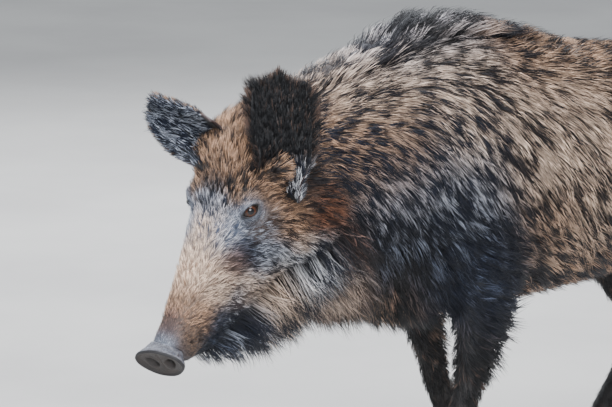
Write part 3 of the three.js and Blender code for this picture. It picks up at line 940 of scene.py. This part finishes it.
def skinFinish():
    made = Finish("hide")
    broad, fine, hairs = made.noise(38, 4), made.noise(420, 4), made.noise(900, 2, (1.0, 0.35, 0.45))
    light = made.eased(broad, 0.3, 0.7, 0.75, 1.2) * made.eased(hairs, 0.35, 0.65, 0.6, 1.3)
    made.set("Base Color", made.lit(made.attribute("tone", "Color"), light))
    made.set("Roughness", made.eased(fine, 0.3, 0.7, 0.5, 0.75))
    station = made.attribute("station")
    ripple = station.maths("SINE", station * 1.9 + made.noise(60, 3) * 26)
    creases = made.bump(ripple, made.eased(station, 62, 20) * 0.35, 0.0012)
    pores = made.bump(made.cells(480), 0.3, 0.0008, creases)
    made.set("Normal", made.bump(hairs * 0.7 + fine * 0.3, 0.55, 0.0016, pores))
    return made.material


def leatherFinish(plan):
    made = Finish("snoutLeather")
    rim, hollow = made.attribute("rim"), made.attribute("hollow")
    broad, cells = made.noise(70, 4), made.cells(520)
    face = made.mixed(made.eased(broad, 0.35, 0.65), plan["face"], plan["faceLight"])
    face = made.mixed(made.eased(cells, 0.0, 0.22, 0.5, 0), face, plan["dark"])
    edge = made.eased(rim, 0.84, 0.97)
    slope = made.mixed(made.eased(made.noise(210, 5), 0.4, 0.6), plan["rim"], plan["rimDark"])
    shade = made.mixed(edge, face, made.mixed(made.eased(rim, 1.03, 1.15), plan["lip"], slope))
    # painted shade: the nostrils' hollows are painted near black
    made.set("Base Color", made.mixed(hollow * 0.94, shade, plan["dark"]))
    made.set("Roughness", made.eased(broad, 0.3, 0.7, 0.34, 0.55) + edge * 0.12)
    lines = made.bump(made.noise(240, 5), 0.35, 0.0008)
    made.set("Normal", made.bump(made.eased(cells, 0.0, 0.3), 0.55, 0.0006, lines))
    return made.material


def eyeFinish(plan):
    made = Finish("wetEye", Roughness=0.12, Coat_Weight=0.35, Coat_Roughness=0.02, Specular_IOR_Level=0.25)
    gaze, spokes = made.attribute("gaze"), made.noise(900, 3)
    irisEdge, pupilEdge = plan["irisEdge"], plan["pupilEdge"]
    iris = made.mixed(made.eased(spokes, 0.35, 0.65), plan["iris"], plan["irisLight"])
    iris = made.mixed(made.eased(gaze, irisEdge + 0.05, irisEdge), iris, plan["limbus"])
    whole = made.mixed(made.eased(gaze, irisEdge + 0.012, irisEdge - 0.012), iris, plan["white"])
    whole = made.mixed(made.eased(gaze, pupilEdge - 0.008, pupilEdge + 0.004), whole, plan["pupil"])
    made.set("Base Color", whole)
    made.set("Normal", made.bump(spokes, 0.08, 0.0003))
    return made.material


def hornFinish(plan):
    made = Finish("horn")
    streaks = made.noise(260, 4, (1, 1, 0.12))
    dust = made.eased(made.noise(45, 5), 0.45, 0.7)
    shade = made.mixed(made.eased(streaks, 0.35, 0.65), plan["dark"], plan["light"])
    made.set("Base Color", made.mixed(dust * 0.55, shade, plan["dust"]))
    made.set("Roughness", made.eased(streaks, 0.3, 0.7, 0.38, 0.6) + dust * 0.2)
    made.set("Normal", made.bump(streaks, 0.4, 0.0007))
    return made.material


def floorFinish(plan):
    made = Finish("paleFloor", Roughness=0.9)
    clouds = made.eased(made.noise(1.5, 5), 0.3, 0.7)
    made.set("Base Color", made.mixed(clouds, plan["floor"], plan["floorDark"]))
    return made.material


finishPlan = {
    "coat": {"fine": 700, "broad": 26, "rough": (0.42, 0.6), "sheen": 0.45},
    "face": {"fine": 900, "broad": 40, "rough": (0.48, 0.64), "sheen": 0.4},
    "ears": {"fine": 900, "broad": 40, "rough": (0.5, 0.66), "sheen": 0.3},
    "leather": {"face": colour("1B1614"), "faceLight": colour("2F2723"), "lip": colour("1B191B"),
                "dark": colour("0E0A09"), "rim": colour("66666C"), "rimDark": colour("47464B")},
    "eye": {"iris": colour("220F08"), "irisLight": colour("45230F"), "limbus": colour("140A07"),
            "white": colour("1E1410"), "pupil": colour("05070B"), "irisEdge": 0.80, "pupilEdge": 0.945},
    "horn": {"dark": colour("1E1A18"), "light": colour("4A423C"), "dust": colour("80705F")},
}
coatMaterials = {slot: coatFinish(name, finishPlan[look]) for slot, name, look in (
    ("coat", "coatHair", "coat"), ("coat_face", "faceHair", "face"), ("coat_dark", "earHair", "ears"))}


def strandForm(rings):
    # a three-sided strand along Z, one unit long, as places and faces
    form = bmesh.new()
    bmesh.ops.create_cone(form, segments=3, radius1=1, radius2=0, depth=1, cap_ends=False)
    bmesh.ops.remove_doubles(form, verts=form.verts, dist=1e-4)
    bmesh.ops.translate(form, vec=(0, 0, 0.5), verts=form.verts)
    rails = [edge for edge in form.edges if abs(edge.verts[0].co.z - edge.verts[1].co.z) > 0.5]
    if rings:
        bmesh.ops.subdivide_edges(form, edges=rails, cuts=rings)
    bmesh.ops.triangulate(form, faces=form.faces)
    form.verts.ensure_lookup_table()
    places = np.array([vert.co for vert in form.verts])
    faces = np.array([[vert.index for vert in face.verts] for face in form.faces], np.int32)
    form.free()
    along = places[:, 2]
    ring = np.maximum(1 - along, 1e-6)[:, None]
    taper = (0.8 + 0.5 * along) * np.maximum(1 - along, 0) ** 0.55
    places[:, :2] *= np.where(along > 0.999, 0, taper)[:, None] / ring
    return places, faces


strandForms = [strandForm(rings) for rings in (0, 1, 2)]

# Each region's hairs per square centimetre, their length and width in millimetres, how far they stand up, how
# widely they gather into clumps and how tightly, and their strand form. Then what differs from the coat's habit.
coatColumns = ("density", "long", "wide", "lift", "clump", "pull", "rings")
coatHabit = {
    "clumpTone": 0.76, "rootTone": 0.3, "light": (0.7, 1.3), "turn": 0.16, "sway": 0.05, "droop": 0,
    "hang": 0, "slot": "coat",
}
coatRows = {
    "snout": ((40, 8.5, 1.1, 0.38, 5, 0.4, 0), {"slot": "coat_face", "clumpTone": 0.45, "rootTone": 0.35,
        "light": (0.4, 1.4), "turn": 0.28}),
    "muzzle": ((24, 15, 1.25, 0.46, 5.5, 0.5, 1), {"slot": "coat_face", "clumpTone": 0.52,
        "rootTone": 0.25, "light": (0.4, 1.45), "turn": 0.28}),
    "eyes": ((70, 8.0, 0.9, 0.5, 6, 0.25, 0), {"slot": "coat_face", "clumpTone": 0.4, "rootTone": 0.5,
        "light": (0.35, 1.6)}),
    "forehead": ((24, 35, 1.15, 0.78, 6, 0.4, 1), {"slot": "coat_face", "clumpTone": 0.55,
        "light": (0.5, 1.35)}),
    "temple": ((26, 31, 1.15, 0.95, 6, 0.4, 1), {"slot": "coat_face", "clumpTone": 0.55,
        "light": (0.5, 1.35)}),
    "throat": ((10, 60, 1.6, 0.6, 9, 0.5, 1), {"clumpTone": 0.66, "hang": 0.7, "hangWay": (0, 0.35, -1),
        "turn": 0.24}),
    "cheek": ((21, 28, 1.15, 0.5, 6, 0.48, 1), {"slot": "coat_face", "clumpTone": 0.52,
        "light": (0.45, 1.4), "turn": 0.24, "sway": 0.09}),
    "beard": ((14.5, 66, 1.2, 0.62, 8, 0.5, 2), {"clumpTone": 0.6, "rootTone": 0.35, "hang": 0.8,
        "hangWay": (0, 0.3, -1), "droop": 0.06, "turn": 0.3, "sway": 0.12, "light": (0.5, 1.35)}),
    "neck": ((11, 44, 1.7, 0.55, 8, 0.45, 1), {"clumpTone": 0.72, "light": (0.55, 1.35)}),
    "shoulder": ((9, 42, 1.8, 0.5, 8.5, 0.45, 1), {"clumpTone": 0.72, "light": (0.55, 1.35)}),
    "flank": ((5.8, 48, 2.2, 0.46, 10, 0.45, 1), {"clumpTone": 0.7}),
    "back": ((6.5, 54, 2.2, 0.5, 10.5, 0.45, 1), {"clumpTone": 0.7}),
    "belly": ((4.5, 46, 2.2, 0.45, 12, 0.5, 1), {"droop": 0.12, "clumpTone": 0.7}),
    "mane": ((13, 90, 1.9, 0.86, 16, 0.5, 2), {"droop": 0.06}),
    "upperLegs": ((8.4, 32, 1.7, 0.5, 12, 0.45, 1), {}),
    "lowerLegs": ((20, 14, 1.1, 0.3, 9, 0.3, 0), {}),
    "tail": ((12, 46, 1.5, 0.22, 10, 0.5, 1), {"droop": 0.1}),
    "earBack": ((34, 17, 1.2, 0.4, 9, 0.35, 0), {"slot": "coat_dark", "rootTone": 0.6, "clumpTone": 0.4}),
    "earFront": ((24, 21, 1.1, 0.5, 6, 0.35, 1), {"slot": "coat_dark", "rootTone": 0.6, "clumpTone": 0.4}),
    "disc": ((60, 5.5, 0.8, 0.3, 5, 0.25, 0), {"slot": "coat_face", "clumpTone": 0.4, "rootTone": 0.5,
        "light": (0.45, 1.3)}),
    "earFringe": ((52, 25, 0.9, 0.15, 8, 0.3, 1), {"slot": "coat_dark", "rootTone": 0.6, "clumpTone": 0.66,
        "turn": 0.2}),
}
coatPlan = {
    name: {**coatHabit, **dict(zip(coatColumns, row)), **own} for name, (row, own) in coatRows.items()
}
coatSeeds = {"body": 41, "ears": 91, "disc": 131}
strandPlan = {"sunk": 0.0012, "patch": 0.0012, "flat": 0.45, "bend": 0.45}
earClearance = (0.004, 0.04)  # where the body's hair starts from the ears and where it is full length


def toEyes(points):
    return np.min([np.linalg.norm(points - place, axis=1) for place in eyePlaces.values()], axis=0)


def regionsAt(points, normals, shares):
    # which region of the coat each point belongs to
    left, back, up = toBody(points)
    station, height, aside = toHead(points)
    onHead = headShareOf(shares) > 0.5
    tail = shares["tail"] > 0.5
    legs = (shares["foreleg"] + shares["hindleg"] + shares["foot"] > 0.5) & ~onHead & ~tail
    eyeNear = toEyes(points) < 0.029
    beard = onHead & (height < -58 - 0.18 * (station - 60)) & (station < 330) & ~eyeNear
    face = onHead & ~beard & ~eyeNear
    fore = face & ((height > 40) | (station > 310)) & (station > 232)
    temple = fore & (np.abs(aside) > 36) & (station > 258) & (station < 350) & (height > 12)
    lowFace = face & ~fore
    body = ~onHead & ~legs & ~tail
    ridge = body & (np.abs(left) < 34) & (normals[:, 2] > 0.45) & (back < 330)
    throat = body & (normals[:, 2] < -0.25) & (back < -50)
    body = body & ~throat & ~ridge
    neck = body & (shares["neck"] > 0.4)
    below = normals[:, 2] < -0.5
    trunk = body & ~neck
    return {
        "snout": face & (station < 62), "muzzle": lowFace & (station >= 62) & (station < 205),
        "eyes": onHead & eyeNear, "forehead": fore & ~temple, "temple": temple, "throat": throat,
        "cheek": lowFace & (station >= 205), "beard": beard, "neck": neck,
        "shoulder": trunk & (back < 130) & ~below, "flank": trunk & (back >= 130) & (up < 690) & ~below,
        "back": trunk & (back >= 130) & (up >= 690), "belly": trunk & below, "mane": ridge,
        "upperLegs": legs & (up > 210), "lowerLegs": legs & (up <= 210) & (up > 24), "tail": tail,
    }


def lengthAt(name, points, normals, plan):
    # the region's own length, eased towards its neighbours
    _, back, up = toBody(points)
    station, height, _ = toHead(points)
    rearward = smooth(0.1, 0.8, normals[:, 1])
    factors = {
        "snout": 0.62 + 0.38 * smooth(14, 50, station),
        "muzzle": 0.85 + 0.5 * smooth(110, 205, station),
        "forehead": 0.6 + 0.5 * smooth(240, 330, station),
        "temple": 1.0 + 0.1 * smooth(258, 300, station),
        "cheek": 0.5 + 0.6 * smooth(205, 290, station) * smooth(60, 0, height),
        "eyes": 0.75 + 1.7 * smooth(0.015, 0.026, toEyes(points)) * smooth(20, 60, height),
        "beard": 0.4 + 0.75 * smooth(30, 130, station) * smooth(0.5, -0.4, normals[:, 2]),
        "mane": 0.75 + 0.3 * bell(back, 200) - 0.3 * smooth(120, 330, back),
        "lowerLegs": 0.75 + 0.4 * smooth(40, 200, up),
        "upperLegs": 0.62 + 0.5 * smooth(230, 380, up) + 0.75 * rearward * smooth(240, 320, up),
        "tail": 0.6 + 1.0 * smooth(620, 470, up),
    }
    return float(plan["long"]) * factors.get(name, np.ones(len(points))) / 1000


def standAt(name, points):
    # how much more upright than its region's habit the hair stands: only the brows do
    if name != "eyes":
        return 1
    _, height, _ = toHead(points)
    return 1 + 1.3 * smooth(30, 60, height) * smooth(0.016, 0.024, toEyes(points))


def surfaceOf(piece):
    # a piece's triangles, points and normals, and each triangle's own normal
    mesh = piece.data
    mesh.calc_loop_triangles()
    corners = arrayOf(mesh.loop_triangles, "vertices", 3, np.int32)
    normals = meshNormals(mesh)
    return corners, meshPoints(mesh), normals, unit(normals[corners].mean(1))


def sampleRoots(surface, chosen, plan, rng):
    # places spread over the chosen triangles, the way out there and the triangle under each
    corners, points, normals, _ = surface
    a, b, c = (points[corners[:, k]] for k in range(3))
    area = np.linalg.norm(np.cross(b - a, c - a), axis=1) / 2 * 1e4
    count = rng.poisson(area * (plan["density"] * 1) * chosen)
    which = np.repeat(np.arange(len(corners)), count)
    u, v = rng.random(len(which)), rng.random(len(which))
    flip = u + v > 1
    u, v = np.where(flip, 1 - u, u), np.where(flip, 1 - v, v)
    weights = np.stack([1 - u - v, u, v], axis=1)[:, :, None]
    return (points[corners[which]] * weights).sum(1), unit((normals[corners[which]] * weights).sum(1)), which


def clumpsOf(roots, spacing, density, rng):
    # every root is given its nearest clump
    share = min(1, 1 / (density * (spacing / 10) ** 2))
    chosen = np.flatnonzero(rng.random(len(roots)) < share)
    if not len(chosen):
        chosen = np.array([0])
    tree = treeOf(roots[chosen])
    return chosen, np.array([tree.find(place)[1] for place in roots], np.int64)


def grow(roots, upright, ways, length, plan, tones, unwrapped, rng, stand=1):
    # strands from arrays: places, faces, colours and the map of each one's patch
    form, faces = strandForms[plan["rings"]]
    count = len(roots)
    chosen, clump = clumpsOf(roots, plan["clump"], plan["density"], rng)
    clumpTone, clumpTurn = rng.random(len(chosen)), rng.normal(0, plan["turn"], len(chosen))
    side = unit(np.cross(upright, ways))
    turn = clumpTurn[clump] + rng.normal(0, 0.10, count)
    heading = ways * np.cos(turn)[:, None] + side * np.sin(turn)[:, None]
    if plan["hang"]:  # long hair gives way to its weight where the skin lets it
        hanging = unit(heading + np.array(plan["hangWay"]) * plan["hang"])
        inward = np.minimum((hanging * upright).sum(1, keepdims=True), 0)
        heading = unit(hanging - upright * inward)
    side = unit(np.cross(upright + 0.01 * ways, heading))
    length = length * rng.uniform(0.72, 1.12, count) * (0.85 + 0.3 * clumpTone[clump])
    lift = plan["lift"] * stand * rng.uniform(0.65, 1.3, count)
    rise, run = np.sin(lift), np.cos(lift)
    end = roots + (heading * run[:, None] + upright * (rise * 0.55)[:, None]) * length[:, None]
    pull = plan["pull"] * rng.uniform(0.5, 1.1, count)
    gather = (end[chosen[clump]] - end) * pull[:, None]
    gather *= np.minimum(1, 0.45 * length / np.maximum(np.linalg.norm(gather, axis=1), 1e-9))[:, None]
    across, over, along = (form[:, k][None, :, None] for k in range(3))
    rising = rise[:, None, None] * (along - strandPlan["bend"] * along**2)
    curve = (heading * run[:, None])[:, None] * along + upright[:, None] * rising
    places = roots[:, None] + curve * length[:, None, None] + gather[:, None] * along**2
    places[:, :, 2] -= plan["droop"] * length[:, None] * form[:, 2] ** 2
    sway = rng.normal(0, plan["sway"], count) * length
    places += side[:, None] * (sway[:, None, None] * along**2)
    width = (plan["wide"] / 2000 * rng.uniform(0.7, 1.25, count))[:, None, None]
    places += side[:, None] * across * width + upright[:, None] * over * width * strandPlan["flat"]
    places -= upright[:, None] * (strandPlan["sunk"] * (1 - along))
    corners = (faces[None] + (np.arange(count) * len(form))[:, None, None]).reshape(-1, 3)
    colours = tones(clumpTone[clump], rng.random(count), form[:, 2], rng, plan)
    patch = unwrapped[:, None] + (form[:, :2] + form[:, 2:] * (0, 1))[None] * strandPlan["patch"]
    return places.reshape(-1, 3), corners, colours.reshape(-1, 3), patch.reshape(-1, 2)


def tonesOf(pale, dark, share):
    def tones(clumpTone, strandTone, along, rng, plan):
        # a strand is pale or dark by its clump's draw and its own, and is darker at the root
        mixed = plan["clumpTone"]
        isPale = smooth(-0.08, 0.08, share - (mixed * clumpTone + (1 - mixed) * strandTone))[:, None]
        light = rng.uniform(*plan["light"], len(share))[:, None]
        body = (pale * isPale + dark * (1 - isPale)) * light
        base = body * plan["rootTone"] + dark * 0.1
        step = smooth(0.0, 0.6, along)[None, :, None]
        return base[:, None] * (1 - step) + body[:, None] * step
    return tones


def around(x, z):
    return np.arctan2(x, z) / (2 * math.pi) + 0.5


def unwrapPlaces(points, shares):
    # an unwrap of the skin's own shape: a tube for each part, laid side by side
    left, back, up = toBody(points)
    station, height, aside = toHead(points)
    half = (left > 0) * 0.5  # the left legs take the upper half
    front, rear = np.abs(left) - 98, np.abs(left) - 105
    parts = np.array([*shares.values()]).argmax(0)
    tubes = {
        "trunk": (around(left, up - 580), (back + 300) / 1150, (0.01, 0.01, 0.48, 0.48)),
        "neck": (around(left, up - 600), (back + 420) / 420, (0.51, 0.01, 0.48, 0.2)),
        "head": (around(aside, height + 40), station / 400, (0.01, 0.51, 0.48, 0.48)),
        "jaw": (around(aside, height + 40), station / 400, (0.51, 0.76, 0.23, 0.23)),
        "tail": (around(left, back - 760), up / 800, (0.76, 0.76, 0.23, 0.23)),
        "foreleg": (around(front, back), up / 500 * 0.5 + half, (0.51, 0.22, 0.23, 0.25)),
        "hindleg": (around(rear, back - 620), up / 600 * 0.5 + half, (0.76, 0.22, 0.23, 0.25)),
        "foot": (around(front, np.mod(back, 180) - 90), up / 200 * 0.5 + half, (0.51, 0.49, 0.23, 0.25)),
    }
    result = np.zeros((len(points), 2))
    for k, name in enumerate(shares):
        u, v, (x, y, wide, high) = tubes[name]
        mine = parts == k
        result[mine] = np.stack([x + u.clip(0, 1) * wide, y + v.clip(0, 1) * high], axis=1)[mine]
    return result


def setTone(mesh, tone):
    setLayer(mesh, "tone", "FLOAT_COLOR", "color", np.hstack([tone, np.ones((len(tone), 1))]))


def strandPiece(name, plan, built):
    places, corners, tones, patches = built
    mesh = bpy.data.meshes.new(name)
    mesh.vertices.add(len(places))
    mesh.vertices.foreach_set("co", places.ravel())
    mesh.loops.add(len(corners) * 3)
    mesh.loops.foreach_set("vertex_index", corners.ravel().astype(np.int32))
    mesh.polygons.add(len(corners))
    mesh.polygons.foreach_set("loop_start", np.arange(len(corners), dtype=np.int32) * 3)
    smoothShaded(mesh)
    mesh.update(calc_edges=True)
    setTone(mesh, tones)
    layer = mesh.uv_layers.new(name="OFBake")
    layer.uv.foreach_set("vector", patches[corners.ravel()].ravel())
    mesh.materials.append(coatMaterials[plan["slot"]])
    piece = linked(name, mesh)
    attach(piece, "root")
    print(f"{name}: {len(corners)} triangles")
    return piece


def keptFromEyes(roots):
    keep = np.ones(len(roots), bool)
    for side in sides:
        outward, x, y = eyeSpots(roots, side, eyePlan)
        margin = np.hypot(x / (eyePlan["open"] + 2.4), y / (eyePlan["upper"] + 2.6))
        keep &= (margin > 1) | (outward < -4)
    return keep


def headShareOf(shares):
    return np.clip(shares["head"] + shares["jaw"], 0, 1)


def makeCoat(skin, shares):
    surface = surfaceOf(skin)
    corners, points, _, faceNormals = surface
    faceShares = {part: amount[corners].mean(1) for part, amount in shares.items()}
    earTree = treeOf(np.vstack([meshPoints(ear.data) for ear in ears.values()]))
    regions = regionsAt(points[corners].mean(1), faceNormals, faceShares)
    pieces = []
    for number, (name, chosen) in enumerate(regions.items()):
        plan = coatPlan[name]
        rng = np.random.default_rng(coatSeeds["body"] + number)
        roots, upright, which = sampleRoots(surface, chosen, plan, rng)
        keep = keptFromEyes(roots) if name == "eyes" else np.ones(len(roots), bool)
        shortened = 1
        if name in ("temple", "forehead", "cheek", "neck"):
            toEar = np.array([earTree.find(place)[2] for place in roots])
            keep = toEar > earClearance[0]
            shortened = 0.7 + 0.3 * smooth(*earClearance, toEar[keep])
        roots, upright, which = roots[keep], upright[keep], which[keep]
        rootShares = {part: amount[which] for part, amount in faceShares.items()}
        ways = lieOfCoat(roots, upright, headShareOf(rootShares))
        length = lengthAt(name, roots, upright, plan) * shortened
        tones, unwrapped = tonesOf(*markings(roots)), unwrapPlaces(roots, rootShares)
        built = grow(roots, upright, ways, length, plan, tones, unwrapped, rng, standAt(name, roots))
        pieces.append(strandPiece(name + "Coat", plan, built))
    return pieces


# The ears' own hair: dark, with a browner fringe and a pale lock at the root of the hind margin. The right ear's
# silver front and tan fringe are a painted highlight, lighter than the left ear's hair.
earTones = {
    "left": {"earBack": ("umber", "black", 0.22), "earFront": ("umber", "black", 0.16),
             "earFringe": ("umber", "black", 0.55)},
    "right": {"earBack": ("umber", "black", 0.22), "earFront": ("silver", "blueBlack", 0.36),
              "earFringe": ("tan", "darkBrown", 0.5)},
}
earFringes = {
    "left": {"from": 0.01, "long": 20, "spread": 1.15, "lobe": 0.75},
    "right": {"from": 0.14, "long": 15, "spread": 0.45, "lobe": 0.15},
}
earSpreads = {"earBack": 0.45, "earFront": 0.5, "earFringe": 1.0}


def earTonesAt(names, lobe):
    paleName, darkName, share = names
    weight = lobe[:, None]
    pale = shades[paleName] * (1 - weight) + shades["pale"] * weight
    dark = shades[darkName] * (1 - weight) + shades["blueBlack"] * weight
    return tonesOf(pale, dark, share * (1 - lobe) + 0.5 * lobe)


def makeEarCoat(side, ear):
    surface = surfaceOf(ear)
    wide, back, tip = earAxes(side, earPlan)
    fringe = earFringes[side]
    isRight = side == "right"
    faceAlong, faceAcross = (readLayer(ear.data, name)[surface[0]].mean(1) for name in ("along", "across"))
    outwardWay = surface[3] @ back
    margin = (np.abs(faceAcross) > 0.84) | (faceAlong > 0.94)
    above = faceAlong > fringe["from"]
    isBack = outwardWay > 0.1
    regions = {"earBack": isBack & above, "earFront": ~isBack & above, "earFringe": margin & above}
    pieces = []
    for number, (name, chosen) in enumerate(regions.items()):
        plan = coatPlan[name]
        isFringe = name == "earFringe"
        rng = np.random.default_rng(coatSeeds["ears"] + number + 10 * isRight)
        roots, upright, which = sampleRoots(surface, chosen, plan, rng)
        across, along = faceAcross[which], faceAlong[which]
        sideways = np.sign(across) * np.abs(across) ** 1.6 * (earSpreads[name] * fringe["spread"])
        ways = tip + wide * sideways[:, None] * (1 - 0.7 * smooth(0.8, 1, along))[:, None]
        if isFringe:
            upright = unit(upright + 1.2 * ways - back * 0.15)
        ways = unit(ways - upright * (ways * upright).sum(1, keepdims=True) * (0.3 if isFringe else 1))
        longest = fringe["long"] if isFringe else plan["long"]
        length = longest / 1000 * (0.7 + 0.4 * smooth(0.1, 0.5, along) - 0.3 * smooth(0.8, 1, along))
        lobe = smooth(0.15, 0.6, across * np.sign(wide[1])) * smooth(0.36, 0.22, along) * fringe["lobe"]
        unwrapped = np.stack([0.76 + 0.11 * isRight + 0.1 * (across + 1) / 2,
                              0.49 + 0.12 * (name != "earBack") + 0.11 * along], axis=1)
        tones = earTonesAt(earTones[side][name], lobe)
        built = grow(roots, upright, ways, length, plan, tones, unwrapped, rng)
        pieces.append(strandPiece(name + side.capitalize() + "Coat", plan, built))
    return pieces


def makeDiscCoat(piece):
    # short hair over the disc's upper side, thinning out at the rim
    surface = surfaceOf(piece)
    corners, points, _, faceNormals = surface
    station, height, _ = toHead(points[corners].mean(1))
    back, up = faceNormals @ headWay((1, 0, 0))[0], faceNormals @ headWay((0, 1, 0))[0]
    chosen = smooth(2, 9, station) * (back > 0.1) * smooth(-14, 4, height) * (up > -0.2)
    plan = coatPlan["disc"]
    rng = np.random.default_rng(coatSeeds["disc"])
    roots, upright, _ = sampleRoots(surface, chosen, plan, rng)
    ways = lieOfCoat(roots, upright, np.ones(len(roots)))
    station, height, aside = toHead(roots)
    unwrapped = np.stack([0.01 + 0.2 * (aside + 50) / 100, 0.4 + 0.08 * station / 30], axis=1)
    length = lengthAt("disc", roots, upright, plan)
    return strandPiece("discCoat", plan, grow(
        roots, upright, ways, length, plan, tonesOf(*markings(roots)), unwrapped, rng))


def readLayer(mesh, name):
    return arrayOf(mesh.attributes[name].data, "value")


coat = makeCoat(skin, skinShares)
for side, ear in ears.items():
    coat += makeEarCoat(side, ear)
coat.append(makeDiscCoat(disc))
say(f"coat, {sum(len(piece.data.polygons) for piece in coat)} triangles")


skinTonePlan = {
    "paleShare": 0.4, "shade": 0.55, "noseBare": 0.45, "noseShade": 0.55, "lidRing": 0.35, "lidShade": 0.45,
    "tear": 0.9, "earRose": 0.22, "earBlack": 0.5, "earStation": 500.0,
}


def toneSkin(skin, plan):
    # the skin takes the coat's markings, darker, with bare dark rims to the lids; the darkening is dark skin and
    # painted shade in the gaps between the hairs
    points = meshPoints(skin.data)
    pale, dark, share = markings(points)
    amount = (share * plan["paleShare"])[:, None]
    tone = (pale * amount + dark * (1 - amount)) * plan["shade"]
    station, _, _ = toHead(points)

    def covered(tone, amount, shade):
        return tone * (1 - amount[:, None]) + shade * amount[:, None]

    nose = (1 - smooth(10, 34, station)) * plan["noseBare"]
    tone = covered(tone, nose, shades["silver"] * plan["noseShade"])
    for side in sides:
        outward, x, y = eyeSpots(points, side, eyePlan)
        margin = np.hypot(x / eyePlan["open"], y / np.where(y > 0, eyePlan["upper"], eyePlan["lower"]))
        front = smooth(-3, 3, outward)
        ring = band(1.35, 1.8, 0.2, margin) * front * plan["lidRing"]
        tone = covered(tone, ring, shades["silver"] * plan["lidShade"])
        rim = (1 - smooth(1.12, 1.4, margin)) * front
        tone = covered(tone, np.maximum(rim, tearAt(x, y, eyePlan) * front * plan["tear"]), shades["black"])
    setTone(skin.data, tone)
    setLayer(skin.data, "station", "FLOAT", "value", station)


def toneEar(ear, plan):
    # dark outside, dull flesh within
    inside = readLayer(ear.data, "inside")[:, None]
    flesh = shades["rose"] * plan["earRose"] + shades["black"] * plan["earBlack"]
    setTone(ear.data, shades["black"] * inside + flesh * (1 - inside))
    setLayer(ear.data, "station", "FLOAT", "value", np.full(len(inside), plan["earStation"]))


def dress(pieces, material):
    for piece in pieces:
        piece.data.materials.clear()
        piece.data.materials.append(material)


toneSkin(skin, skinTonePlan)
for ear in ears.values():
    toneEar(ear, skinTonePlan)
dress([skin, *ears.values()], skinFinish())
dress([disc], leatherFinish(finishPlan["leather"]))
dress(eyes, eyeFinish(finishPlan["eye"]))
dress(hooves, hornFinish(finishPlan["horn"]))
say("materials")


def makeFloor(plan):
    form = bmesh.new()
    bmesh.ops.create_grid(form, x_segments=1, y_segments=1, size=plan["floorReach"])
    floor = linked("floor", meshOf(form, "floor"))
    dress([floor], floorFinish(plan))


def makeWorld(plan):
    world = bpy.data.worlds.new("softSky")
    bpy.context.scene.world = world
    world.use_nodes = True
    background = world.node_tree.nodes["Background"]
    background.inputs["Color"].default_value = (*plan["sky"], 1)
    background.inputs["Strength"].default_value = plan["skyStrength"]


makeFloor(stagePlan)
makeWorld(stagePlan)

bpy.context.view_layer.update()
say("done")
